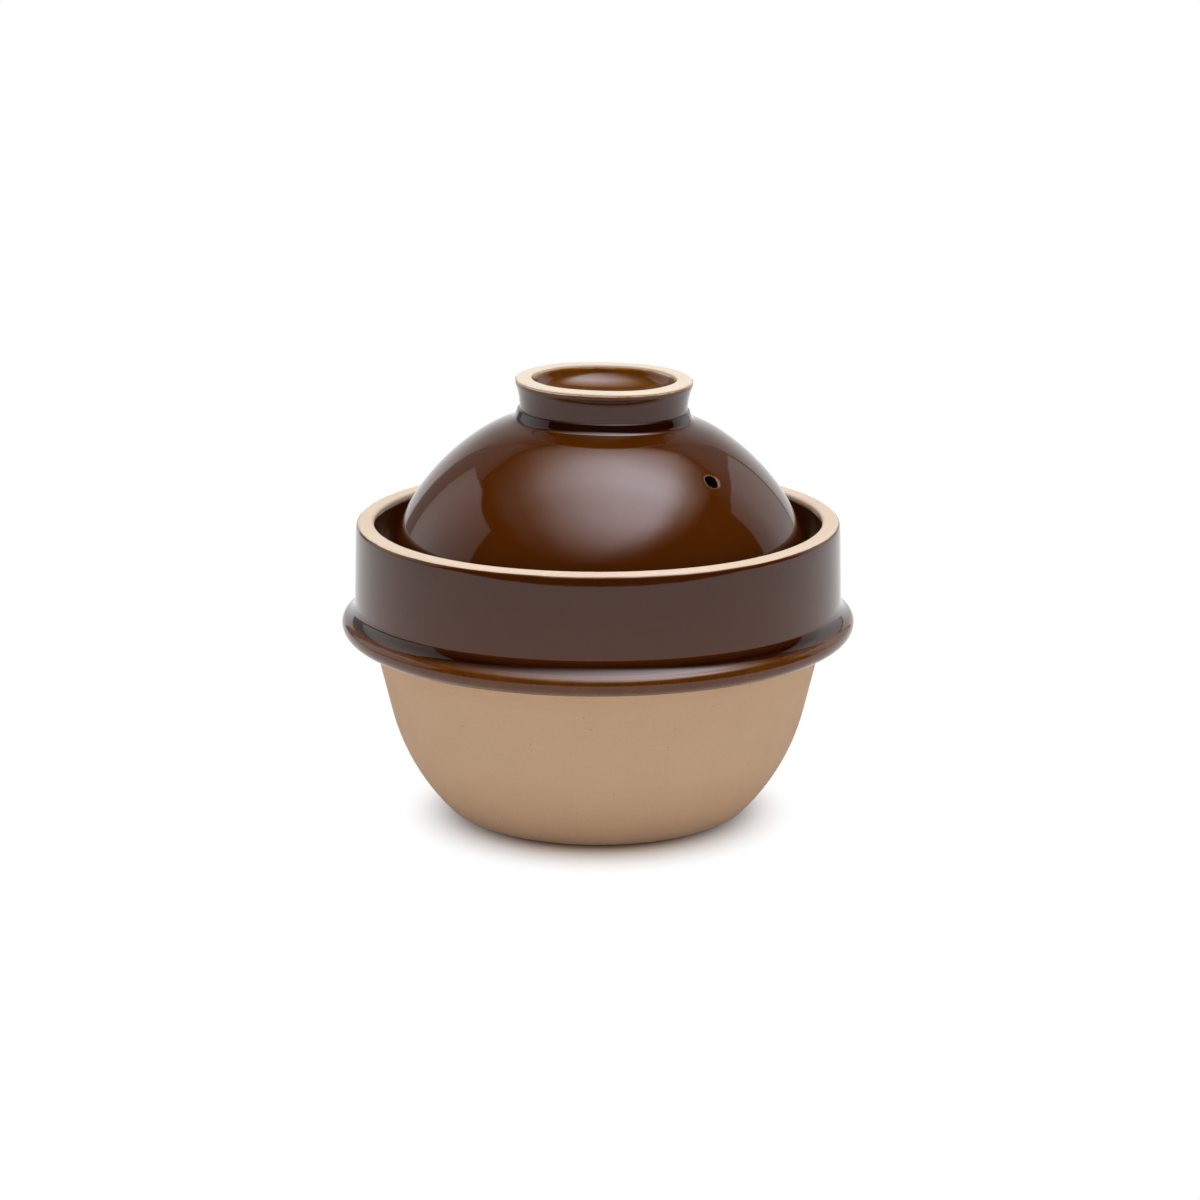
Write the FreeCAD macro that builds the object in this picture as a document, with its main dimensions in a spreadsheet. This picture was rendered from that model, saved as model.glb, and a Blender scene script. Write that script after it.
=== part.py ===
import FreeCAD, Part
import math
import os
import Sketcher

# A clay rice cooker: a thrown pot with a flange and a high collar, and a loose domed lid
# that stands on a ledge inside the collar. Its knob is a ring like the foot of a bowl.
# Millimetres and degrees. The origin is the middle of the base, on the table, +Z is up,
# and -Y is the side that faces the viewer.

doc = FreeCAD.newDocument("clay_rice_cooker")

# Driving dimensions, of the bare clay where nothing else is said
DRIVING = [
    ("glaze", 0.35, "thickness of every glaze coat"),
    ("belly_radius", 65.1, "ball whose part the bowl's belly is, outside"),
    ("belly_centre", 45.9, "height of that ball's centre"),
    ("wall_lean", 13.3, "lean of the straight wall above the belly"),
    ("bowl_wall", 6.3, "thickness of the bowl's wall"),
    ("floor_thickness", 9.0, "thickness of the bowl's floor"),
    ("floor_corner", 14.0, "inner radius between floor and belly"),
    ("foot_rounding", 3.6, "outer radius between base and belly"),
    ("foot_hollow_radius", 36.0, "radius of the shallow hollow under the base"),
    ("foot_hollow_depth", 1.2, "depth of that hollow"),
    ("rim_height", 89.2, "top of the collar"),
    ("seat_height", 69.0, "ledge that the lid stands on"),
    ("flange_height", 58.1, "widest line of the flange"),
    ("shoulder_drop", 4.2, "from the flange's widest line down to the shoulder"),
    ("shoulder_step", 5.1, "how far the shoulder steps out to the collar"),
    ("collar_wall", 6.4, "thickness of the collar at the ledge"),
    ("rim_width", 5.1, "thickness of the collar at the rim"),
    ("collar_flare", 0.4, "how far the collar's inside opens towards the rim"),
    ("rim_rounding", 0.9, "radius of the rim's two edges"),
    ("rim_bare", 0.5, "bare clay below the top of the rim"),
    ("seat_width", 9.0, "width of the ledge"),
    ("seat_lip", 6.5, "height of the ledge's inner face"),
    ("seat_slope", 50.0, "slope of the ledge's underside from the level"),
    ("seat_corner", 1.8, "radius between ledge and collar"),
    ("nose_rounding", 2.0, "radius of the ledge's inner edges"),
    ("pocket_rounding", 5.0, "radius under the ledge"),
    ("flange_reach", 3.8, "how far the flange stands out from the collar"),
    ("flange_top_rounding", 2.25, "upper radius of the flange's edge"),
    ("flange_bottom_rounding", 3.4, "lower radius of the flange's edge"),
    ("flange_slope", 12.0, "slope of the flange's underside"),
    ("flange_fillet", 3.2, "hollow radius between the flange's underside and the wall"),
    ("fillet_bite", 0.15, "how deep that hollow radius cuts into the wall"),
    ("flange_luting", 1.4, "slip that seals the flange to the collar"),
    ("glaze_pool", 5.7, "radius of the glaze that pools above the flange"),
    ("glaze_reach", 72.0, "how far the glaze runs round below the flange's edge"),
    ("lid_side_gap", 2.9, "free play round the lid, glaze to glaze"),
    ("lid_side_radius", 49.3, "profile radius of the lid's side"),
    ("crown_join", 36.0, "slope angle where the side meets the crown"),
    ("lid_wall", 6.0, "thickness of the lid"),
    ("lip_rounding", 1.2, "radius of the lid's lower edges"),
    ("lip_bare", 2.5, "bare clay above the lid's lower edge"),
    ("lid_offset", 0.45, "how far right of the pot's axis the loose lid lies"),
    ("knob_lean", 1.05, "lean of the knob ring to the right"),
    ("knob_height", 6.35, "knob ring above the crown"),
    ("knob_waist", 24.98, "radius of the knob ring's waist"),
    ("knob_waist_drop", 2.85, "waist below the crown"),
    ("knob_flare", 20.45, "hollow profile radius of the knob ring's side"),
    ("knob_rounding", 0.8, "radius of the knob ring's outer edge"),
    ("knob_bare", 1.15, "bare clay below the top of the knob ring"),
    ("knob_foot", 3.6, "radius of the glaze that pools round the knob ring's foot"),
    ("knob_skirt", 30.0, "how far from the knob's axis its glaze is drawn with it"),
    ("well_radius", 21.9, "radius of the well in the knob ring"),
    ("well_corner", 7.0, "radius between the well's wall and floor"),
    ("well_sink", 1.8, "floor of the well below the crown"),
    ("well_rounding", 0.5, "radius of the knob ring's inner edge"),
    ("steam_hole_diameter", 4.6, "bore of the steam hole"),
    ("steam_hole_turn", 45.7, "turn of the steam hole from +X to the front"),
    ("steam_hole_tip", 43.8, "tip of the steam hole from the lid's axis"),
    ("steam_hole_bare", 0.4, "bare clay round the steam hole"),
    ("steam_hole_chamfer", 0.3, "chamfer of the steam hole's outer edge"),
    ("cut_margin", 5.0, "how far cutting shapes run past what they cut"),
]

# Sizes that follow from the driving ones, so that what fits together stays together
FOLLOWING = [
    ("bowl_top_radius",
     "(sizes.belly_radius + (sizes.flange_height - sizes.shoulder_drop - sizes.belly_centre)"
     " * sin(sizes.wall_lean)) / cos(sizes.wall_lean)"),
    ("collar_radius", "bowl_top_radius + sizes.shoulder_step"),
    ("bore_radius", "collar_radius - sizes.collar_wall"),
    ("bore_rim_radius", "bore_radius + sizes.collar_flare"),
    ("rim_radius", "bore_rim_radius + sizes.rim_width"),
    ("nose_radius", "bore_radius - sizes.seat_width"),
    ("flange_radius", "collar_radius + sizes.flange_reach"),
    ("lid_radius", "bore_radius - 2 * sizes.glaze - sizes.lid_side_gap"),
    ("crown_radius",
     "(lid_radius - sizes.lid_side_radius * (1 - cos(sizes.crown_join)))"
     " / cos(sizes.crown_join)"),
    ("crown_centre",
     "sizes.seat_height - (crown_radius - sizes.lid_side_radius) * sin(sizes.crown_join)"),
]

# How a sketch names the points of its pieces, its origin and its upright axis
POINTS = {"start": 1, "end": 2, "centre": 3}
ORIGIN = (-1, POINTS["start"])
UPRIGHT_AXIS = -2


def fill_sheet():
    sheet = doc.addObject("Spreadsheet::Sheet", "sizes")
    for row, (name, number, meaning) in enumerate(DRIVING, start=1):
        sheet.set("A%d" % row, name)
        sheet.set("B%d" % row, str(number))
        sheet.set("C%d" % row, meaning)
        sheet.setAlias("B%d" % row, name)
    doc.recompute()
    return sheet


def add_following_sizes():
    following = doc.addObject("App::VarSet", "fit")
    for name, formula in FOLLOWING:
        following.addProperty("App::PropertyFloat", name)
        following.setExpression(name, formula)
    doc.recompute()
    return following


sizes = fill_sheet()
fit = add_following_sizes()


def size(formula):
    """Present value of a formula that uses the sheet's names."""
    return float(sizes.evalExpression(formula))


def sine(name):
    return math.sin(math.radians(size(name)))


def cosine(name):
    return math.cos(math.radians(size(name)))


class Outline:
    """Closed outline of a turned form: x is the radius and y the height.

    Its pieces are added in the order in which one walks round the form. An arc is given
    by its first and last angle, so it may be walked either way.
    """

    def __init__(self, body, name):
        self.body = body
        self.sketch = body.newObject("Sketcher::SketchObject", name)
        planes = {feature.Role: feature for feature in body.Origin.OriginFeatures}
        self.sketch.AttachmentSupport = [(planes["XZ_Plane"], "")]
        self.sketch.MapMode = "FlatFace"
        self.pieces = []

    def line(self, start, end):
        edge = Part.LineSegment(FreeCAD.Vector(*start, 0), FreeCAD.Vector(*end, 0))
        self.pieces.append((self.sketch.addGeometry(edge), POINTS["start"], POINTS["end"]))
        return len(self.pieces) - 1

    def arc(self, centre, radius, first, last):
        circle = Part.Circle(FreeCAD.Vector(*centre, 0), FreeCAD.Vector(0, 0, 1), radius)
        low = math.radians(min(first, last))
        high = math.radians(max(first, last))
        ends = (POINTS["start"], POINTS["end"])
        if first > last:
            ends = ends[::-1]
        self.pieces.append((self.sketch.addGeometry(Part.ArcOfCircle(circle, low, high)), *ends))
        return len(self.pieces) - 1

    def close(self, smooth):
        """Joins each piece to the next, without a corner after those named in smooth."""
        for number, (piece, _, leave) in enumerate(self.pieces):
            following, enter, _ = self.pieces[(number + 1) % len(self.pieces)]
            kind = "Tangent" if number in smooth else "Coincident"
            self.sketch.addConstraint(Sketcher.Constraint(kind, piece, leave, following, enter))

    def level(self, *numbers):
        for number in numbers:
            self.sketch.addConstraint(Sketcher.Constraint("Horizontal", self.pieces[number][0]))

    def upright(self, *numbers):
        for number in numbers:
            self.sketch.addConstraint(Sketcher.Constraint("Vertical", self.pieces[number][0]))

    def on_axis(self, number, place):
        point = self.point(number, place)
        self.sketch.addConstraint(Sketcher.Constraint("PointOnObject", *point, UPRIGHT_AXIS))

    def point(self, number, place):
        piece, enter, leave = self.pieces[number]
        return piece, {"start": enter, "end": leave, "centre": POINTS["centre"]}[place]

    def bind(self, name, constraint, formula):
        index = self.sketch.addConstraint(constraint)
        self.sketch.renameConstraint(index, name)
        self.sketch.setExpression("Constraints." + name, formula)

    def radius(self, number, name, formula):
        piece = self.pieces[number][0]
        self.bind(name, Sketcher.Constraint("Radius", piece, size(formula)), formula)

    def across(self, number, place, name, formula):
        """Distance of a point from the form's axis."""
        point = self.point(number, place)
        self.bind(name, Sketcher.Constraint("DistanceX", *ORIGIN, *point, size(formula)), formula)

    def up(self, number, place, name, formula):
        """Height of a point."""
        point = self.point(number, place)
        self.bind(name, Sketcher.Constraint("DistanceY", *ORIGIN, *point, size(formula)), formula)

    def slope(self, number, name, formula):
        """Angle of a line from the level, counter-clockwise, in the way it is walked."""
        piece = self.pieces[number][0]
        angle = math.radians(size(formula))
        self.bind(name, Sketcher.Constraint("Angle", piece, angle), formula)

    def guide(self, name, low, high):
        """Another form's straight side, which the outline follows; its ends are formulas."""
        ends = [FreeCAD.Vector(size(across), size(up), 0) for across, up in (low, high)]
        line = self.sketch.addGeometry(Part.LineSegment(*ends), True)
        for place, (across, up) in [("start", low), ("end", high)]:
            point = (line, POINTS[place])
            label = "%s_%s" % (name, place)
            self.bind(label + "_radius",
                      Sketcher.Constraint("DistanceX", *ORIGIN, *point, size(across)), across)
            self.bind(label + "_height",
                      Sketcher.Constraint("DistanceY", *ORIGIN, *point, size(up)), up)
        return line

    def apart(self, number, place, guide, name, formula):
        """Distance of a point from a guide line."""
        point = self.point(number, place)
        self.bind(name, Sketcher.Constraint("Distance", *point, guide, size(formula)), formula)

    def turn(self):
        """Turns the outline once round its axis."""
        form = self.body.newObject("PartDesign::Revolution", self.sketch.Name + "_turned")
        form.Profile = self.sketch
        form.ReferenceAxis = (self.sketch, ["V_Axis"])
        form.Angle = 360
        self.sketch.Visibility = False
        self.body.Tip = form
        return self.body


def new_body(name):
    body = doc.addObject("PartDesign::Body", name)
    body.Label = name
    return body


def cut(name, base, tools):
    """What is left of a form after others are taken out of it."""
    for number, tool in enumerate(tools, start=1):
        label = name if number == len(tools) else "%s_cut_%d" % (name, number)
        left = doc.addObject("Part::Cut", label)
        left.Label = label
        left.Base = base
        left.Tool = tool
        base = left
    return base


def tangent_x(centre_x, reach, rise):
    """Radius of a point that lies reach from a centre and rise above it."""
    return centre_x + math.sqrt(reach ** 2 - rise ** 2)


def angle_to(centre, point):
    return math.degrees(math.atan2(point[1] - centre[1], point[0] - centre[0]))


def off(centre, reach, angle):
    """Point at a distance and an angle from a centre."""
    turn = math.radians(angle)
    return (centre[0] + reach * math.cos(turn), centre[1] + reach * math.sin(turn))


# The pot

def pot_form():
    """The pot's outside as a filled form: base, belly, wall, shoulder, collar and rim."""
    outline = Outline(new_body("pot_form"), "pot_outline")
    belly, middle = size("sizes.belly_radius"), size("sizes.belly_centre")
    foot, edge = size("sizes.foot_rounding"), size("sizes.rim_rounding")
    foot_centre = (tangent_x(0, belly - foot, foot - middle), foot)
    belly_start = angle_to((0, middle), foot_centre)
    lean = size("sizes.wall_lean")
    wall_start = (belly * cosine("sizes.wall_lean"), middle - belly * sine("sizes.wall_lean"))
    shoulder = (size("fit.bowl_top_radius"), size("sizes.flange_height - sizes.shoulder_drop"))
    collar_foot = (size("fit.collar_radius"), size("sizes.flange_height"))
    top = size("sizes.rim_height")
    rim = size("fit.rim_radius")
    outline.line((0, 0), (foot_centre[0], 0))
    outline.arc(foot_centre, foot, -90, belly_start)
    outline.arc((0, middle), belly, belly_start, -lean)
    outline.line(wall_start, shoulder)
    outline.line(shoulder, collar_foot)
    outline.line(collar_foot, (rim, top - edge))
    outline.arc((rim - edge, top - edge), edge, 0, 90)
    outline.line((rim - edge, top), (0, top))
    outline.line((0, top), (0, 0))
    outline.close(smooth=[0, 1, 2, 5, 6])
    outline.level(0, 7)
    outline.upright(8)
    outline.sketch.addConstraint(Sketcher.Constraint("Coincident", *outline.point(0, "start"), *ORIGIN))
    outline.radius(1, "foot_rounding", "sizes.foot_rounding")
    outline.on_axis(2, "centre")
    outline.up(2, "centre", "belly_centre", "sizes.belly_centre")
    outline.radius(2, "belly_radius", "sizes.belly_radius")
    outline.up(3, "end", "shoulder_height", "sizes.flange_height - sizes.shoulder_drop")
    outline.across(3, "end", "bowl_top_radius", "fit.bowl_top_radius")
    outline.across(4, "end", "collar_radius", "fit.collar_radius")
    outline.up(4, "end", "collar_foot", "sizes.flange_height")
    outline.across(6, "centre", "rim_radius", "fit.rim_radius - sizes.rim_rounding")
    outline.radius(6, "rim_rounding", "sizes.rim_rounding")
    outline.up(8, "start", "rim_height", "sizes.rim_height")
    return outline.turn()


def bore_space(name, inset):
    """The room inside the collar, from the ledge up to the rim, drawn in by inset."""
    outline = Outline(new_body(name), name + "_outline")
    seat, top = size("sizes.seat_height"), size("sizes.rim_height")
    corner, edge = size("sizes.seat_corner"), size("sizes.rim_rounding")
    low, high = size("fit.bore_radius"), size("fit.bore_rim_radius")
    inward = size(inset)
    outline.line((0, seat + inward), (low - corner, seat + inward))
    outline.arc((low - corner, seat + corner), corner - inward, -90, 0)
    outline.line((low - inward, seat + corner), (high - inward, top - edge))
    outline.arc((high + edge, top - edge), edge + inward, 180, 90)
    outline.line((high + edge, top + inward), (0, top + inward))
    outline.line((0, top + inward), (0, seat + inward))
    outline.close(smooth=[0, 1, 2, 3])
    outline.level(0, 4)
    outline.upright(5)
    outline.on_axis(5, "end")
    outline.up(0, "start", "seat_height", "sizes.seat_height + " + inset)
    outline.radius(1, "seat_corner", "sizes.seat_corner - (%s)" % inset)
    outline.across(1, "centre", "bore_radius", "fit.bore_radius - sizes.seat_corner")
    outline.across(3, "centre", "bore_rim_radius", "fit.bore_rim_radius + sizes.rim_rounding")
    outline.radius(3, "rim_rounding", "sizes.rim_rounding + " + inset)
    outline.up(4, "start", "rim_height", "sizes.rim_height + " + inset)
    return outline.turn()


def bowl_space(name, inset, top):
    """The room inside the bowl, up to the ledge, drawn in by inset all round."""
    outline = Outline(new_body(name), name + "_outline")
    ball_size = "sizes.belly_radius - sizes.bowl_wall"
    ball, middle = size(ball_size), size("sizes.belly_centre")
    corner, floor = size("sizes.floor_corner"), size("sizes.floor_thickness")
    pocket, nose = size("sizes.pocket_rounding"), size("sizes.nose_rounding")
    inward = size(inset)
    lean, slope = size("sizes.wall_lean"), size("sizes.seat_slope")
    lean_cos, lean_sin = cosine("sizes.wall_lean"), sine("sizes.wall_lean")
    slope_cos, slope_sin = cosine("sizes.seat_slope"), sine("sizes.seat_slope")
    corner_rise = floor + corner - middle
    corner_centre = (tangent_x(0, ball - corner, corner_rise), floor + corner)
    nose_centre = (size("fit.nose_radius") + nose, size("sizes.seat_height - sizes.seat_lip"))
    # The pocket's centre lies one pocket radius inside both the wall and the ledge's underside
    wall_reach = ball - pocket
    under_reach = nose_centre[0] * slope_sin + nose_centre[1] * slope_cos - nose - pocket
    spread = lean_cos * slope_cos + lean_sin * slope_sin
    from_wall = wall_reach - middle * lean_sin
    pocket_centre = ((from_wall * slope_cos + under_reach * lean_sin) / spread,
                     (under_reach * lean_cos - from_wall * slope_sin) / spread)

    ball_start = angle_to((0, middle), corner_centre)
    under_angle = 90 - slope
    outline.line((0, floor + inward), (corner_centre[0], floor + inward))
    outline.arc(corner_centre, corner - inward, -90, ball_start)
    outline.arc((0, middle), ball - inward, ball_start, -lean)
    outline.line(off((0, middle), ball - inward, -lean), off(pocket_centre, pocket - inward, -lean))
    outline.arc(pocket_centre, pocket - inward, -lean, under_angle)
    outline.line(off(pocket_centre, pocket - inward, under_angle),
                 off(nose_centre, nose + inward, under_angle + 180))
    outline.arc(nose_centre, nose + inward, under_angle + 180, 180)
    outline.line((nose_centre[0] - nose - inward, nose_centre[1]),
                 (nose_centre[0] - nose - inward, size(top)))
    outline.line((nose_centre[0] - nose - inward, size(top)), (0, size(top)))
    outline.line((0, size(top)), (0, floor + inward))
    outline.close(smooth=[0, 1, 2, 3, 4, 5, 6])
    outline.level(0, 8)
    outline.upright(7, 9)
    outline.on_axis(0, "start")
    outline.up(0, "start", "floor", "sizes.floor_thickness + " + inset)
    outline.radius(1, "floor_corner", "sizes.floor_corner - (%s)" % inset)
    outline.on_axis(2, "centre")
    outline.up(2, "centre", "ball_centre", "sizes.belly_centre")
    outline.radius(2, "ball_radius", "%s - (%s)" % (ball_size, inset))
    outline.slope(3, "wall_slope", "90 - sizes.wall_lean")
    outline.radius(4, "pocket_rounding", "sizes.pocket_rounding - (%s)" % inset)
    outline.slope(5, "underside_slope", "180 - sizes.seat_slope")
    outline.radius(6, "nose_rounding", "sizes.nose_rounding + " + inset)
    outline.across(6, "centre", "nose_radius", "fit.nose_radius + sizes.nose_rounding")
    outline.up(6, "centre", "nose_height", "sizes.seat_height - sizes.seat_lip")
    outline.up(8, "start", "top", top)
    return outline.turn()


def foot_space():
    """The shallow hollow under the base, with a sloping edge."""
    hollow = doc.addObject("Part::Cone", "foot_space")
    hollow.setExpression("Radius1", "sizes.foot_hollow_radius + sizes.foot_hollow_depth")
    hollow.setExpression("Radius2", "sizes.foot_hollow_radius")
    hollow.setExpression("Height", "sizes.foot_hollow_depth")
    return hollow


def nose_edge():
    """The sliver that rounds the ledge's upper inner edge: a ring with a hollow side."""
    outline = Outline(new_body("nose_edge"), "nose_edge_outline")
    nose, seat = size("sizes.nose_rounding"), size("sizes.seat_height")
    inner = size("fit.nose_radius")
    outline.line((inner, seat - nose), (inner - nose, seat - nose))
    outline.line((inner - nose, seat - nose), (inner - nose, seat))
    outline.line((inner - nose, seat), (inner + nose, seat))
    outline.arc((inner + nose, seat - nose), nose, 90, 180)
    outline.close(smooth=[2])
    outline.level(0, 2)
    outline.upright(1)
    outline.across(0, "end", "inner_side", "fit.nose_radius - sizes.nose_rounding")
    outline.up(0, "end", "edge_foot", "sizes.seat_height - sizes.nose_rounding")
    outline.up(1, "end", "seat_height", "sizes.seat_height")
    outline.across(3, "centre", "edge_centre", "fit.nose_radius + sizes.nose_rounding")
    outline.radius(3, "nose_rounding", "sizes.nose_rounding")
    return outline.turn()


def flange_form():
    """The flange as a ring that runs into the pot's wall: its edge has two radii.

    A hollow radius leads from its underside down to the bowl's wall.
    """
    outline = Outline(new_body("flange_form"), "flange_outline")
    upper, lower = size("sizes.flange_top_rounding"), size("sizes.flange_bottom_rounding")
    reach, height = size("fit.flange_radius"), size("sizes.flange_height")
    collar, luting = size("fit.collar_radius"), size("sizes.flange_luting")
    buried = size("fit.bowl_top_radius - sizes.bowl_wall / 2")
    slope, fillet = size("sizes.flange_slope"), size("sizes.flange_fillet")
    lower_centre = (reach - lower, height)
    under = off(lower_centre, lower, slope - 90)
    # The hollow's centre lies below the underside and outside the bowl's straight wall
    sine_slope, cosine_slope = sine("sizes.flange_slope"), cosine("sizes.flange_slope")
    sine_lean, cosine_lean = sine("sizes.wall_lean"), cosine("sizes.wall_lean")
    from_wall = size("sizes.belly_radius + sizes.flange_fillet - sizes.fillet_bite"
                     " - sizes.belly_centre * sin(sizes.wall_lean)")
    below = lower + fillet + sine_slope * lower_centre[0] - cosine_slope * height
    spread = sine_slope * sine_lean - cosine_slope * cosine_lean
    fillet_centre = ((below * sine_lean - from_wall * cosine_slope) / spread,
                     (below * cosine_lean - from_wall * sine_slope) / spread)
    fillet_start = (fillet_centre[0] - fillet, fillet_centre[1])
    top = height + upper
    inner_end = collar - luting
    outline.line((buried, fillet_start[1]), fillet_start)
    outline.arc(fillet_centre, fillet, 180, 90 + slope)
    outline.line(off(fillet_centre, fillet, 90 + slope), under)
    outline.arc(lower_centre, lower, slope - 90, 0)
    outline.arc((reach - upper, height), upper, 0, 90)
    outline.line((reach - upper, top), (collar + luting, top))
    outline.line((collar + luting, top), (inner_end, top + 2 * luting))
    outline.line((inner_end, top + 2 * luting), (buried, top + 2 * luting))
    outline.line((buried, top + 2 * luting), (buried, fillet_start[1]))
    outline.close(smooth=[1, 2, 3, 4])
    outline.level(0, 5, 7)
    outline.upright(8)
    start, centre = outline.point(1, "start"), outline.point(1, "centre")
    outline.sketch.addConstraint(Sketcher.Constraint("Horizontal", *start, *centre))
    outline.radius(1, "fillet", "sizes.flange_fillet")
    wall = outline.guide(
        "wall",
        ("sizes.belly_radius * cos(sizes.wall_lean)",
         "sizes.belly_centre - sizes.belly_radius * sin(sizes.wall_lean)"),
        ("fit.bowl_top_radius", "sizes.flange_height - sizes.shoulder_drop"))
    outline.apart(1, "centre", wall, "fillet_from_wall", "sizes.flange_fillet - sizes.fillet_bite")
    outline.slope(2, "underside_slope", "sizes.flange_slope")
    outline.radius(3, "bottom_rounding", "sizes.flange_bottom_rounding")
    outline.up(3, "centre", "flange_height", "sizes.flange_height")
    outline.across(3, "centre", "bottom_centre", "fit.flange_radius - sizes.flange_bottom_rounding")
    outline.radius(4, "top_rounding", "sizes.flange_top_rounding")
    outline.up(4, "centre", "top_centre", "sizes.flange_height")
    outline.across(5, "end", "luting_foot", "fit.collar_radius + sizes.flange_luting")
    outline.slope(6, "luting_slope", "135")
    outline.across(6, "end", "luting_end", "fit.collar_radius - sizes.flange_luting")
    outline.across(8, "end", "buried_side", "fit.bowl_top_radius - sizes.bowl_wall / 2")
    return outline.turn()


def collar_skin():
    """The flange and the collar with their outer glaze, as a filled form.

    The glaze begins under the flange's edge, pools above the flange and ends just
    below the rim.
    """
    outline = Outline(new_body("collar_skin"), "collar_skin_outline")
    glaze, pool = size("sizes.glaze"), size("sizes.glaze_pool")
    upper, lower = size("sizes.flange_top_rounding"), size("sizes.flange_bottom_rounding")
    reach, height = size("fit.flange_radius"), size("sizes.flange_height")
    collar_foot = (size("fit.collar_radius"), height)
    collar_top = (size("fit.rim_radius"), size("sizes.rim_height - sizes.rim_rounding"))
    top = size("sizes.rim_height - sizes.rim_bare")
    buried = size("fit.collar_radius - sizes.collar_wall / 2")
    lean = math.atan2(collar_foot[0] - collar_top[0], collar_top[1] - collar_foot[1])
    lower_centre = (reach - lower, height)
    upper_centre = (reach - upper, height)
    under = -size("sizes.glaze_reach")
    start = off(lower_centre, lower + glaze, under)
    # The pool's centre lies outside the collar's glaze and touches the edge's upper arc
    aside = collar_foot[0] - upper_centre[0] + (glaze + pool) / math.cos(lean)
    span = upper + glaze + pool
    rise = span
    for _ in range(20):
        across = aside - rise * math.tan(lean)
        rise = math.sqrt(span ** 2 - across ** 2)
    pool_centre = (upper_centre[0] + across, upper_centre[1] + rise)
    toward = angle_to(upper_centre, pool_centre)
    wall = 180 + math.degrees(lean)
    wall_foot = off(pool_centre, pool, wall)
    wall_top = (wall_foot[0] - (top - wall_foot[1]) * math.tan(lean), top)
    outline.line((buried, start[1]), start)
    outline.arc(lower_centre, lower + glaze, under, 0)
    outline.arc(upper_centre, upper + glaze, 0, toward)
    outline.arc(pool_centre, pool, toward + 180, wall)
    outline.line(wall_foot, wall_top)
    outline.line(wall_top, (buried, top))
    outline.line((buried, top), (buried, start[1]))
    outline.close(smooth=[1, 2, 3])
    outline.level(0, 5)
    outline.upright(6)
    outline.across(6, "end", "buried_side", "fit.collar_radius - sizes.collar_wall / 2")
    outline.radius(1, "bottom_rounding", "sizes.flange_bottom_rounding + sizes.glaze")
    outline.across(1, "centre", "bottom_centre", "fit.flange_radius - sizes.flange_bottom_rounding")
    outline.up(1, "centre", "flange_height", "sizes.flange_height")
    outline.up(0, "end", "glaze_end", "sizes.flange_height"
               " - (sizes.flange_bottom_rounding + sizes.glaze) * sin(sizes.glaze_reach)")
    outline.radius(2, "top_rounding", "sizes.flange_top_rounding + sizes.glaze")
    outline.up(2, "centre", "top_centre", "sizes.flange_height")
    outline.radius(3, "glaze_pool", "sizes.glaze_pool")
    outline.up(5, "start", "glaze_top", "sizes.rim_height - sizes.rim_bare")
    clay = outline.guide("clay", ("fit.collar_radius", "sizes.flange_height"),
                         ("fit.rim_radius", "sizes.rim_height - sizes.rim_rounding"))
    skin = outline.pieces[4][0]
    outline.sketch.addConstraint(Sketcher.Constraint("Parallel", skin, clay))
    outline.apart(4, "end", clay, "glaze_thickness", "sizes.glaze")
    return outline.turn()


# The lid, with its own axis through the origin until it is moved

def dome(name, offset, bottom):
    """The lid's shape as a filled form: a round side that runs into a flatter crown."""
    outline = Outline(new_body(name), name + "_outline")
    side, outward = size("sizes.lid_side_radius"), size(offset)
    side_centre = (size("fit.lid_radius") - side, size("sizes.seat_height"))
    crown_centre = (0, size("fit.crown_centre"))
    low = size(bottom) - side_centre[1]
    foot = (tangent_x(side_centre[0], side + outward, low), size(bottom))
    join = size("sizes.crown_join")
    crown = size("fit.crown_radius") + outward
    outline.line((0, foot[1]), foot)
    outline.arc(side_centre, side + outward, angle_to(side_centre, foot), join)
    outline.arc(crown_centre, crown, join, 90)
    outline.line((0, crown_centre[1] + crown), (0, foot[1]))
    outline.close(smooth=[1])
    outline.level(0)
    outline.on_axis(3, "start")
    outline.on_axis(3, "end")
    outline.up(0, "start", "bottom", bottom)
    outline.across(1, "centre", "side_centre", "fit.lid_radius - sizes.lid_side_radius")
    outline.up(1, "centre", "side_height", "sizes.seat_height")
    outline.radius(1, "side_radius", "sizes.lid_side_radius + " + offset)
    outline.on_axis(2, "centre")
    outline.up(2, "centre", "crown_centre", "fit.crown_centre")
    outline.turn()
    return move_lid(outline.body)


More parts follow.
